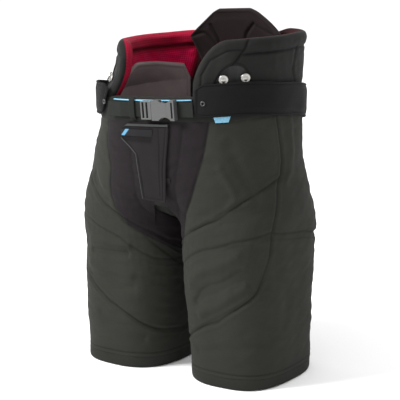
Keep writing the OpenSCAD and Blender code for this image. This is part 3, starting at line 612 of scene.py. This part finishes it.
for word, side in SIDES.items():
    outer = leg_cloth(f"leg_cloth_{word}", side)
    nodes = [f"leg_shell_{word}", f"hip_shell_{word}", f"stretch_panel_{word}"]
    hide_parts(*nodes, *(["seat_shell"] if side == LEFT else ["fly_facing"]))
    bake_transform(outer)
    for piece, slot, node in ((inner_wall(f"leg_inner_cloth_{word}", side), "shell_cloth", None),
                              (hem_ring(f"hem_cloth_{word}", side), "shell_cloth", f"hem_band_{word}"),
                              (leg_liner(f"leg_lining_cloth_{word}", side), "mesh_lining", f"leg_lining_{word}")):
        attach(piece, f"{word}_leg")
        if node:
            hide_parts(node)


def gusset():
    """The dark strip between the legs: it follows the legs' front and back edges and the hip circle below."""
    turn = np.radians(np.linspace(-72, 72, 120))[:, None]
    u = np.linspace(-1, 1, 30)[None, :]
    y = (HIP_RADIUS - 0.4) * np.sin(turn)
    z = AXIS_Z - (HIP_RADIUS - 0.4) * np.cos(turn)
    p = np.stack([34 * u + 0 * y, y + 0 * u, z + 0 * u], -1)
    p = swell(p, 0.5 * ripple(p, (40, 25), 4) - 1.0 * bell(u * 34, 1.5))
    # The gusset's middle seam is darkened, partly as painted shade in its dip.
    return grid_piece("crotch_cloth", placed(p), GUSSET_WITH_SHADE, flip=True, marks={"seam": bell(u * 34, 1.6) + 0 * y})


def front_gusset():
    """The cloth behind the fly: from the waist to the crotch, between the two sides' front edges."""
    z = np.linspace(CROTCH_Z + 44, BLEND_TOP + 20, 60)[:, None]
    edge = side_point(0.0, np.maximum(z, CROTCH_Z + 1))
    u = np.linspace(-1, 1, 40)[None, :]
    x = (edge[..., 0] + 6) * u
    y = edge[..., 1] + 2.6 - 1.5 * (1 - u ** 2)
    p = np.stack([x, y, z + 0 * u], -1)
    return grid_piece("front_crotch_cloth", placed(p), GUSSET_WITH_SHADE)


def back_gusset():
    """The same at the back."""
    z = np.linspace(CROTCH_Z + 44, BLEND_TOP + 20, 60)[:, None]
    edge = side_point(1.0, np.maximum(z, CROTCH_Z + 1))
    u = np.linspace(-1, 1, 40)[None, :]
    x = (edge[..., 0] + 6) * u
    y = edge[..., 1] - 2.6 + 1.5 * (1 - u ** 2)
    p = np.stack([x, y, z + 0 * u], -1)
    return grid_piece("back_crotch_cloth", placed(p), GUSSET_WITH_SHADE, flip=True)


crotch = gusset()
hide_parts("crotch_gusset")
for piece in (crotch, front_gusset(), back_gusset()):
    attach(piece, "trunk")


# ---- waist ----
def waist_ring():
    """The waistband as a closed loop round the waist: cloth outside, padding inside, rounded rims."""
    a = np.linspace(-180, 180, 360, endpoint=False)[None, :]
    loop = [(1.2, -1), (-0.2, 2), (-0.5, 12), (-0.6, 26), (-0.3, 36), (1.6, 39.4), (8, 40.2), (14.5, 39.2),
            (16.6, 34), (17.0, 20), (16.6, 2), (14, -3), (6, -4)]
    prof = smooth_path(loop + loop[:1], 4)[:-1]
    depth, z = prof[:, :1], prof[:, 1:] + WAIST_Z
    base = trunk(a, z)
    depth = depth + 0.5 * ripple(base * [1, 1, 0.4], (45, 30), 15) * bell(z - WAIST_Z - 18, 18)
    return grid_piece("waistband_cloth", placed(trunk(a, z + 0 * a, depth)), WAISTCLOTH, wrap_cols=True,
                      wrap_rows=True, flip=True)


ring = waist_ring()
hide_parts("waistband", "waist_padding")


def trunk_liner():
    """The lining inside the hips."""
    a = np.linspace(-180, 180, 200, endpoint=False)[None, :]
    t = (np.where(np.abs(a) <= 90, a, np.sign(a) * (180 - np.abs(a))) + 90) / 180
    z = np.linspace(310, WAIST_Z + 2, 40)[:, None]
    p = side_point(t + 0 * z, z + 0 * t, 17.0)
    p[..., 0] *= np.where(np.abs(a) <= 90, 1, -1)
    return grid_piece("hip_lining_cloth", placed(p), LINER, wrap_cols=True, flip=True)


liner = trunk_liner()
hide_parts("trunk_lining")


def tube(name, path, radius, material, to_metres=placed, side=LEFT, n=12):
    """A round cord sewn along a path of points, closed at both ends."""
    path = np.array(path, float)
    along = np.gradient(path, axis=0)
    along /= np.linalg.norm(along, axis=1, keepdims=True)
    up = np.cross(along, [0.0, 0.0, 1.0])
    flat = np.linalg.norm(up, axis=1, keepdims=True) < 1e-3
    up = np.where(flat, [1.0, 0.0, 0.0], up / np.maximum(np.linalg.norm(up, axis=1, keepdims=True), 1e-9))
    other = np.cross(along, up)
    a = np.linspace(0, 2 * np.pi, n, endpoint=False)
    ring = np.cos(a)[None, :, None] * up[:, None] + np.sin(a)[None, :, None] * other[:, None]
    pts = path[:, None] + radius * ring
    pts = np.concatenate([path[:1, None].repeat(n, 1), pts, path[-1:, None].repeat(n, 1)])
    pts = placed(pts, side) if to_metres is placed else to_metres(pts)
    return grid_piece(name, pts, material, wrap_cols=True)


PIPING_Z = BELT_Z + WEB_W / 2 + 2.3
piping = tube("waist_piping_cord", trunk(np.linspace(-116.5, -71.5, 60), PIPING_Z, -1.0), 1.3, BLUE)
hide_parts("waist_piping")


# ---- wings ----
def wing_edge(a, side):
    """The wing's top edge: a steep rounded rise at the front, then a slow fall to the back."""
    s = np.clip((a - WING_START[side]) / 22, 0, 1)
    back = 5 * np.clip((a + 30) / 60, 0, 1) + 8 * ease((a - 54) / 18)
    return mix(WING_SEAT + 18, WING_TOP, (1 - (1 - s) ** 2) ** 0.62) - back


def arch_edge(a):
    """The half-round cut over the suspender buttons."""
    s = np.clip((a - sum(ARCH) / 2) / ((ARCH[1] - ARCH[0]) / 2), -1, 1)
    return WING_SEAT + (ARCH_TOP - WING_SEAT) * np.sqrt(1 - s * s)


def rim_depth(edge, half):
    """Depth from the middle of a pad to its face: zero at its edge, then a quarter circle up to half."""
    c = 1 - np.clip(edge / half, 0, 1)
    return half * np.sqrt(np.maximum(1 - c * c, 0))


def wing_grid(side, low, rows=90, cols=210):
    """Angles, heights and the distance in mm to the wing's top, front and back edges."""
    front = WING_START[side]
    a = mix(front, WING_BACK, np.linspace(0, 1, cols) ** 1.35)[None, :]
    top = wing_edge(a, side)
    z = mix(low(a), top, (1 - (1 - np.linspace(0, 1, rows)) ** 1.7)[:, None])
    d_top = (top - z) * np.clip(0.45 + (a - front) / 30, 0.45, 1)
    d_end = np.minimum((a - front) * 2.1, (WING_BACK - a) * 2.3)
    edge = np.minimum(d_top, d_end)
    return a + 0 * z, z, edge


def wing_outside(name, side):
    """Black outer cloth of a wing, rounded over its rim, with a sewn roll below the top."""
    a, z, edge = wing_grid(side, arch_edge)
    depth = 8.1 - rim_depth(edge, 8.1)
    low = z - arch_edge(a)
    in_arch = (a > ARCH[0] - 1) & (a < ARCH[1] + 1)
    depth += np.where(in_arch, 4.5 * np.exp(-low / 2.2), 0)
    p = trunk(skew(a, side), z, 0, REACH[side])
    groove = bell(edge - 25, 2.6) * ease((a + 44) / 8)
    slant = path_distance(a, z, [(-36, 583), (-39, 566), (-43, 553), (-47, 541)], 2.5)
    rise = path_distance(a, z, [(-66, 492), (-66, 528), (-61, 552), (-50, 566), (-39, 566)], 2.5)
    rear = path_distance(a, z, [(6, 492), (2, 520), (4, 556)], 2.5)
    dents = np.minimum(2.2 * groove + 2.0 * bell(slant, 3.2) + 1.5 * bell(rise, 2.2) + 1.5 * bell(rear, 3), 2.4)
    puff = 1.6 * ease((edge - 4) / 8) * bell(edge - 13, 9) * ease((a + 44) / 8)
    h = puff - dents + (0.7 * ripple(p, (70, 45), 7) + 0.3 * ripple(p, (22, 15), 6)) * ease(edge / 12)
    # Dark lines in the sewn grooves and just above the arch's turned-in edge: partly the seams, partly painted
    # shade in the grooves and at the turned edge.
    seam = np.maximum.reduce([1.5 * groove, 1.5 * bell(slant, 2.2), 0.8 * bell(rise, 1.6), 0.5 * bell(rear, 2),
                              np.where(in_arch, bell(low - 4, 1.3), 0)])
    sunk = np.minimum(depth - h * ease(edge / 8), np.where(edge > 8.5, 2.2, 9.0))
    p = trunk(skew(a, side), z, sunk, REACH[side])
    return grid_piece(name, placed(p, side), WINGCLOTH, flip=side == RIGHT, marks={"seam": seam})


def wing_inside(name, side):
    """Red lining of a wing, with a padded roll along its rim and a recessed panel inside that."""
    a, z, edge = wing_grid(side, lambda v: WING_SEAT - 4 + 0 * v)
    depth = 8.1 + rim_depth(edge, 7.9)
    roll = 3.4 * ease(edge / 9) * (1 - ease((edge - 19) / 6))
    groove = 1.6 * bell(edge - 25.5, 2.6)
    roll = roll + 1.2 * ease(edge / 12)
    panel = ease((edge - 30) / 8)
    p = trunk(skew(a, side), z, 0, REACH[side])
    ribs = 0.7 * panel * ripple(p * [1, 1, 1.4], (34, 22), 12) + 0.5 * ripple(p, (60, 40), 13)
    # Darkening in the groove between the roll and the panel, partly painted shade in the groove, and a slight
    # darkening over the recessed panel.
    seam = np.maximum(bell(edge - 25.5, 2.8), 0.08 * panel)
    # Beyond angle 12 on the left and 60 on the right the lining is darkened almost to black.
    seam = np.maximum(seam, 1.56 * ease((a - (12 if side == LEFT else 60)) / 1.5))
    depth = depth + roll - groove + ribs * ease(edge / 12)
    depth = np.where(edge > 8, np.maximum(depth, 15.2), depth)
    p = trunk(skew(a, side), z, depth, REACH[side])
    return grid_piece(name, placed(p, side), RED, flip=side == LEFT,
                      marks={"seam": seam, "panel": 0.8 * panel})


def arch_fold(name, side):
    """Dark cloth folded behind the arch."""
    a = np.linspace(ARCH[0] - 1.5, ARCH[1] + 1.5, 60)[None, :]
    top = arch_edge(np.clip(a, ARCH[0] + 0.3, ARCH[1] - 0.3)) + 4
    z = mix(WING_SEAT - 4, top, np.linspace(0, 1, 50)[:, None])
    u = (a - ARCH[0]) / (ARCH[1] - ARCH[0])
    v = (z - WING_SEAT) / (ARCH_TOP - WING_SEAT)
    depth = 4.2 - 1.6 * np.sin(2.4 * np.pi * (u + 0.35 * v)) * (0.4 + v) + 0.8 * np.sin(7 * np.pi * u + 3 * v)
    p = trunk(skew(a, side) + 0 * z, z, np.clip(depth, 2.4, 6.2), REACH[side])
    return grid_piece(name, placed(p, side), ARCHCLOTH, flip=side == RIGHT)


def kidney_pad(name, side):
    """Comfort pad inside a wing: a closed pillow under a sloping top edge, with a bound rim."""
    stop = 46 if side == LEFT else 60
    a = np.linspace(-29, stop, 120)[None, :]
    line = np.array([(-29, -13), (-18, 12), (-9, 37), (-5, 42.5), (20, 38), (stop - 10, 29), (stop, 1)], float)
    top = WAIST_TOP + np.interp(a, line[:, 0], line[:, 1])
    z = mix(WAIST_Z + 3, top, (1 - (1 - np.linspace(0, 1, 60)) ** 1.4)[:, None])
    edge = np.minimum((top - z) * 0.8, np.minimum((a + 29) * 2.2, (stop - a) * 2.2) + 0 * z)
    reach = REACH[side]
    full = 17.0 + 0.6 + rim_depth(edge, 6.2)
    bound = bell(edge - 6.5, 1.6)
    p = trunk(skew(a, side) + 0 * z, z, full, reach)
    ripples = 0.35 * ripple(p, (45, 28), 17)
    puff = (0.8 * bell(edge - 30, 24) + ripples) * ease((edge - 6) / 16)
    p = trunk(skew(a, side) + 0 * z, z, full - 0.6 * bound + puff, reach)
    q = trunk(skew(a, side) + 0 * z, z, 17.2 + 0 * full, reach)
    # The bound rim is darkened a little: partly the binding's seam, partly painted shade in its dent.
    return closed_pair(name, placed(q, side), placed(p, side), COMFORT, flip=side == RIGHT,
                       marks={"seam": 0.4 * bound})


for word, side in SIDES.items():
    parts = ((wing_outside(f"wing_cloth_{word}", side), "wing_cloth", (f"wing_shell_{word}",)),
             (wing_inside(f"wing_lining_cloth_{word}", side), "red_lining", (f"wing_lining_{word}",)),
             (arch_fold(f"arch_cloth_{word}", side), "stretch_cloth", (f"arch_gusset_{word}",)),
             (kidney_pad(f"kidney_cushion_{word}", side), "comfort_cloth", (f"kidney_pad_{word}",)))
    for piece, slot, nodes in parts:
        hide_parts(*nodes)
        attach(piece, "trunk")


# ---- spine pad ----
SPINE_LOW, SHOULDER = WAIST_TOP + 0.6, SPINE_TOP - 47


def spine_half(z):
    """Half-width of the spine pad: it grows to the shoulders, then narrows to the top edge."""
    low = mix(0.76 * SPINE_W, SPINE_W, (z - SPINE_LOW) / (SHOULDER - SPINE_LOW)) / 2
    high = mix(SPINE_W, SPINE_TOP_W, np.clip((z - SHOULDER) / (SPINE_TOP - SHOULDER), 0, 1) ** 1.15) / 2
    return np.where(z < SHOULDER, low, high) - 6 * np.clip((z - SPINE_TOP + 9) / 9, 0, 1) ** 2


def spine_point(x, z, depth):
    """The spine pad follows the waist's back curve, narrowed to clear the wings. Its stoop forwards grows
    with the square of height."""
    w = WAIST_W / 2 - np.where(x < 0, *SPINE_CLEAR) + 16.7 - depth
    y = (WAIST_BACK - depth) * np.maximum(1 - (np.abs(x) / w) ** 2.5, 0) ** 0.4
    y = y - SPINE_STOOP * ((z - SPINE_LOW) / (SPINE_TOP - SPINE_LOW)) ** 2
    return np.stack(np.broadcast_arrays(x, y, z), -1)


def spine_cushion(name):
    """The spine pad: a closed pillow with sewn channels on its inner face and a bound edge."""
    s = np.sin(np.linspace(-1, 1, 130) * np.pi / 2)[None, :]
    v = np.linspace(0, 1, 120)[:, None]
    z = mix(SPINE_LOW, SPINE_TOP, 1 - (1 - v) ** 1.3)
    half = spine_half(z)
    x = s * half
    edge = np.minimum((half - np.abs(x)) * 0.85, SPINE_TOP - z)
    face = rim_depth(edge, 7.0)
    channels = np.zeros_like(x)
    for path, width, deep in (([(-52, 588), (-42, 560), (-44, 530), (-40, 492)], 3.4, 1.0),
                              ([(-90, 570), (-66, 574), (-48, 552)], 3.2, 0.8),
                              ([(38, 590), (18, 572), (14, 552), (22, 520), (24, 492)], 3.0, 1.0),
                              ([(38, 590), (60, 578), (95, 566)], 3.6, 0.6)):
        line = path_distance(x, z + 0 * x, smooth_path(path), 1)
        channels = np.maximum(channels, deep * bell(line, width))
    bound = bell(edge - 7.5, 1.8)
    p = spine_point(x + SPINE_MIDDLE, z, 24.0)
    h = face + 1.4 * ease((edge - 9) / 14) - 2.8 * channels - 0.5 * bound
    h = h + 0.6 * ripple(p, (40, 26), 19) * ease(edge / 14)
    front = spine_point(x + SPINE_MIDDLE, z + 0 * x, 24.0 + h)
    behind = 24.0 - face + 0.3 * ripple(p, (50, 30), 2) * ease(edge / 14)
    back = spine_point(x + SPINE_MIDDLE, z + 0 * x, behind)
    # The sewn channels and the bound edge are darkened: partly the seams, partly painted shade in the channels.
    return closed_pair(name, placed(front), placed(back), SPINE,
                       marks={"seam": np.maximum(channels, 0.3 * bound)})


pad = spine_cushion("spine_cushion")
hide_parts("spine_pad", "spine_back_cover")
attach(pad, "spine")


# ---- hip bands ----
def band_low(a):
    """Lower edge of a hip band: level at the front, lower at the back."""
    return WAIST_Z + 7 - 34 * ease((a + 45) / 100)


def hip_band(name, side):
    """A padded band on the outside: a flat closed loop in section, with sewn lines near its edges."""
    v = np.linspace(0, 1, 56)[:, None]
    front = BAND_FRONT + (0 if side == LEFT else mix(10, 2, v))
    a = mix(front, BAND_BACK, np.linspace(0, 1, 220)[None, :])
    end = np.minimum((a - front) * 2.0, (BAND_BACK - a) * 2.0)
    cut = 6 * np.clip(1 - end / 10, 0, 1)
    z = mix(band_low(a) + cut, band_low(a) + BAND_H - 1.6 * cut, v)
    edge = np.minimum(np.minimum(v, 1 - v) * BAND_H, end + 0 * z)
    middle = (BAND_OUT + BAND_IN) / 2
    face = rim_depth(edge, 1.7)
    p = trunk(skew(a, side), z, 0, max(REACH[side], 0))
    puff = 1.1 * ease((edge - 4) / 10) + 0.35 * ripple(p, (60, 34), 23) * ease(edge / 8)
    # The sewn line is darkened as well as dented: partly the stitching, partly painted shade in its dent.
    stitch = bell(edge - 4.0, 1.0)
    h = face + puff - 0.8 * stitch
    out = trunk(skew(a, side) + 0 * z, z, middle - h, max(REACH[side], 0))
    inn = trunk(skew(a, side) + 0 * z, z, middle + face, max(REACH[side], 0))
    return closed_pair(name, placed(out, side), placed(inn, side), BANDCLOTH, flip=side == RIGHT,
                       marks={"seam": stitch})


def surface_frame(angle, z, side, reach):
    """A point on the trunk and the outward normal there, in metres."""
    at = lambda a, h: placed(trunk(skew(angle + a, side), z + h, 0, reach), side)
    n = np.cross(at(0.5, 0) - at(-0.5, 0), at(0, 0.5) - at(0, -0.5)) * side
    return at(0, 0), n / np.linalg.norm(n)


def round_group(name, profile, places, material, n=40):
    """The same lathe shape at several places, as one piece."""
    verts, faces, count = [], [], 0
    for centre, axis in places:
        pts, quads = lathe(profile, centre, axis, n)
        verts.append(pts.reshape(-1, 3))
        faces.append(quads + count)
        count += pts.shape[0] * pts.shape[1]
    return new_piece(name, np.concatenate(verts), np.concatenate(faces), material)


for word, side in SIDES.items():
    band = hip_band(f"hip_band_cloth_{word}", side)
    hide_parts(f"hip_band_{word}")
    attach(band, "trunk")

BUTTON = [(0, -1.2), (3.0, -1.2), (3.0, 1.1), (3.2, 1.1), (7.2, 1.1), (7.9, 1.6), (8.0, 2.3), (7.6, 3.1),
          (6.8, 3.5), (6.2, 3.3), (5.6, 2.9), (4.6, 2.8), (3.6, 3.0), (2.6, 3.5), (1.2, 3.8), (0, 3.85)]
BUTTON_Z, BUTTON_ANGLES = WAIST_TOP + 28.5, (-52, -37)
BUTTON_PLACES = [surface_frame(a, BUTTON_Z, side, REACH[side]) for side in (LEFT, RIGHT) for a in BUTTON_ANGLES]
buttons = round_group("suspender_button_heads", BUTTON, BUTTON_PLACES, METAL)
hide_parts("suspender_buttons")
RING = [(2.0, -1.0), (1.9, 0.4), (2.2, 1.0), (3.0, 1.4), (4.0, 1.0), (4.4, 0.2), (4.3, -1.0)]
EYELET_Z = WAIST_Z + 7 + 24
EYELET_PLACES = []
for side in (LEFT, RIGHT):
    centre, normal = surface_frame(BAND_FRONT + 6, EYELET_Z, side, max(REACH[side], 0))
    EYELET_PLACES.append((centre + normal * 0.0089, normal))
eyelets = round_group("band_eyelet_rings", RING, EYELET_PLACES, EYELET)
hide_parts("band_eyelets")


# ---- belt ----
def belt_line(xs, bend=False):
    """The webbing's middle line along X in front of the waist; with bend, it turns back towards the waist past x
    -70.
    """
    y = np.full_like(xs, WEB_Y - 0.8)
    if bend:
        y = y + 6.15 * np.clip((-70 - xs) / 28.6, 0, None)
    return np.stack([xs, y, np.full_like(xs, BELT_Z)], -1)


BELTS = (("belt_webbing_left", np.linspace(41.6, 76.2, 30), "belt_left"),
         ("belt_webbing_right", np.linspace(-98.6, -15.8, 60), "belt_right"))
for name, xs, node in BELTS:
    web = strip(name, belt_line(xs, node == "belt_right"), (0, 0, 1), WEB_W, 1.6, WEBBING, on_belt)
    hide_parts(node)
    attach(web, "trunk")


def loop_piece():
    """The cloth loop that holds the webbing: a flat band bent over it, closed behind."""
    zs = np.array([-17.5, -14.5, -12.5, 0, 12.5, 17.0, 20.0])
    ys = np.array([-137.6, -138.6, -141.0, -141.4, -141.0, -139.4, -137.6])
    path = smooth_path(np.stack([zs, ys], -1), 5)
    middle = np.stack([np.full(len(path), -44.5), path[:, 1], BELT_Z + path[:, 0]], -1)
    return strip("belt_loop_cloth", middle, (1, 0, 0), 11, 1.7, WAISTCLOTH, on_belt)


loop = loop_piece()
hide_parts("belt_loop")


def smooth_cad(node, material, width):
    """Gives a CAD node its finish and softened edges."""
    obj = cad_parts[node]
    obj.data.materials.clear()
    obj.data.materials.append(material)
    if width:
        weld = obj.modifiers.new("weld", "WELD")
        weld.merge_threshold = 1e-5
        bevel = obj.modifiers.new("soft_edges", "BEVEL")
        bevel.width = width / 1000
        bevel.segments = 3
        bevel.limit_method = "ANGLE"
        bevel.angle_limit = math.radians(40)


BUCKLE_EDGES = (("buckle_female", 1.0), ("buckle_male", 0.9), ("latch_arm_upper", 0.5),
                ("latch_arm_lower", 0.5))
for node, width in BUCKLE_EDGES:
    smooth_cad(node, PLASTIC, width)
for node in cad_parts:
    if "guard" in node:
        smooth_cad(node, GUARD, 0)
    elif "foam" in node:
        smooth_cad(node, FOAM, 0)
    elif "strip" in node:
        smooth_cad(node, TAPE, 0)

# ---- fly flap ----
FLY_EDGE = [(0, -56), (11, -74), (28, -69), (41, -50), (54, -34), (80, -28), (FLY_H, -18)]


def fly_free(drop):
    """x of the flap's free edge at a distance below its top."""
    p = np.array(FLY_EDGE, float)
    return np.interp(drop, p[:, 0], p[:, 1])


def fly_point(x, drop, off):
    """A point in front of the waist's front curve by off."""
    y = -WAIST_FRONT * (1 - (np.abs(x) / (WAIST_W / 2)) ** 2.5) ** 0.4 - off
    return np.stack(np.broadcast_arrays(x, y, FLY_TOP - drop), -1)


def fly_sheet(name, drops, start, stop, low, high, material, height=None, marks=None):
    """A flat pad on the flap between two edges, low to high in front of the waist."""
    v = np.linspace(drops[0], drops[1], 90)[:, None]
    s = np.linspace(0, 1, 70)[None, :]
    x = mix(start(v), stop(v), s)
    edge = np.minimum(np.minimum(v - drops[0], drops[1] - v), np.minimum(x - start(v), stop(v) - x) * 0.9)
    half = (high - low) / 2
    face = rim_depth(edge, half)
    extra = height(x, v, edge) if height else 0
    front = fly_point(x, v + 0 * x, (low + high) / 2 + face + extra)
    back = fly_point(x, v + 0 * x, (low + high) / 2 - face)
    seam = marks(x, v, edge) if marks else {"seam": 0 * x}
    return closed_pair(name, placed(front), placed(back), material, flip=True, marks=seam)


def fly_height(x, drop, edge):
    """Sewn line inside the free edge, a second one round the strip, and soft ripples."""
    inner = path_distance(x, drop, [(8, 4), (12, 30), (16, 60), (18, 120)], 1)
    p = fly_point(x, drop, 0)
    return -0.7 * bell(edge - 5, 1.0) - 0.6 * bell(inner, 1.2) + 0.5 * ripple(p, (50, 30), 31) * ease(edge / 8)


def fly_marks(x, drop, edge):
    """Dark lines along the sewn edges, partly painted shade in their grooves, and the darker field behind the
    label.
    """
    inner = path_distance(x, drop, [(8, 4), (12, 30), (16, 60), (18, 120)], 1)
    wide = ease((drop - 6) / 2) * (1 - ease((drop - 30) / 6)) * (1 - ease((x + 4) / 4))
    return {"seam": np.maximum(bell(edge - 5, 1.0), 0.8 * bell(inner, 1.2)), "panel": wide}


flap = fly_sheet("fly_cloth", (0, FLY_H), fly_free, lambda v: FLY_X - 0.3 + 0 * v, 2.1, 4.5, FLYCLOTH,
                 fly_height, fly_marks)
top_trim = fly_sheet("fly_top_trim", (0.5, 4.5), lambda v: fly_free(v) + 1, lambda v: FLY_X - 1 + 0 * v,
                     4.6, 5.8, TRIM)


def label_marks(x, drop, _edge):
    """A plain slanted blue stripe near the label's end."""
    slant = x + 0.8 * (drop - 16) + 60
    return {"panel": ease((4 - np.abs(slant)) / 1.2 + 0.5)}


label = fly_sheet("fly_label_patch", (10, 22), lambda v: fly_free(v) + 3, lambda v: -2 + 0 * v,
                  4.7, 5.6, LABEL, None, label_marks)
drop = np.linspace(26, FLY_H - 2, 80)
edge_cord = tube("fly_edge_piping", fly_point(fly_free(drop) + 1.2, drop, 4.3), 1.1, TRIM)
for piece, nodes, slot in ((flap, ("fly_flap",), "flap_cloth"), (top_trim, ("fly_trim",), "flap_trim"),
                           (label, ("fly_label",), "label_cloth"), (edge_cord, (), "flap_trim")):
    if nodes:
        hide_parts(*nodes)
    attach(piece, "fly")


def tag_piece():
    """The small blue tag under the left band: a trapezoid, narrower at its lower edge."""
    v = np.linspace(0, 1, 12)[:, None]
    s = np.linspace(0, 1, 24)[None, :]
    a = mix(mix(-56.8, -58.2, v), mix(-48.2, -46.8, v), s)
    z = mix(WAIST_Z - 3, WAIST_Z + 6.5, v) + 0 * s
    return closed_pair("side_tag_cloth", placed(trunk(a, z, -2.4)), placed(trunk(a, z, -1.2)), BLUE)


tag = tag_piece()
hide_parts("side_tag")
for piece in (ring, liner, piping, buttons, eyelets, loop, tag):
    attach(piece, "trunk")

# ---- floor, light and camera ----
bpy.ops.mesh.primitive_plane_add(size=60, location=(0, 0, -0.0005))
floor = bpy.context.object
floor.name = "floor"
floor.data.materials.append(plain("floor_paint", (0.97, 0.97, 0.97), 0.9, spec=0.1))

bpy.context.scene.view_settings.view_transform = "Standard"
world = bpy.data.worlds.new("studio")
bpy.context.scene.world = world
world.use_nodes = True
world.node_tree.nodes["Background"].inputs["Color"].default_value = (1, 1, 1, 1)
world.node_tree.nodes["Background"].inputs["Strength"].default_value = 1.0


def area_light(name, place, target, size, power_w):
    """A square lamp of a size in metres, turned towards target."""
    light = bpy.data.lights.new(name, "AREA")
    light.size = size
    light.energy = power_w
    obj = bpy.data.objects.new(name, light)
    obj.location = place
    obj.rotation_euler = (Vector(target) - Vector(place)).to_track_quat("-Z", "Y").to_euler()
    bpy.context.scene.collection.objects.link(obj)


MIDDLE = (0.0, 0.0, 0.3)
area_light("key_light", (-1.6, -1.9, 2.3), MIDDLE, 1.0, 150)
area_light("fill_light", (2.4, -1.2, 0.9), MIDDLE, 1.6, 3)
area_light("back_light", (0.6, 2.2, 2.0), MIDDLE, 1.6, 20)

AZIMUTH, ELEVATION, DISTANCE = math.radians(33.5), math.radians(13.5), 3.0
TARGET = Vector((0.0029, 0.0071, 0.291))
camera_data = bpy.data.cameras.new("camera")
camera_data.lens = 155.2
camera_data.sensor_width = 36
camera = bpy.data.objects.new("camera", camera_data)
camera.location = TARGET + DISTANCE * Vector((math.sin(AZIMUTH) * math.cos(ELEVATION),
                                              -math.cos(AZIMUTH) * math.cos(ELEVATION), math.sin(ELEVATION)))
camera.rotation_euler = (TARGET - camera.location).to_track_quat("-Z", "Y").to_euler()
bpy.context.scene.collection.objects.link(camera)
bpy.context.scene.camera = camera
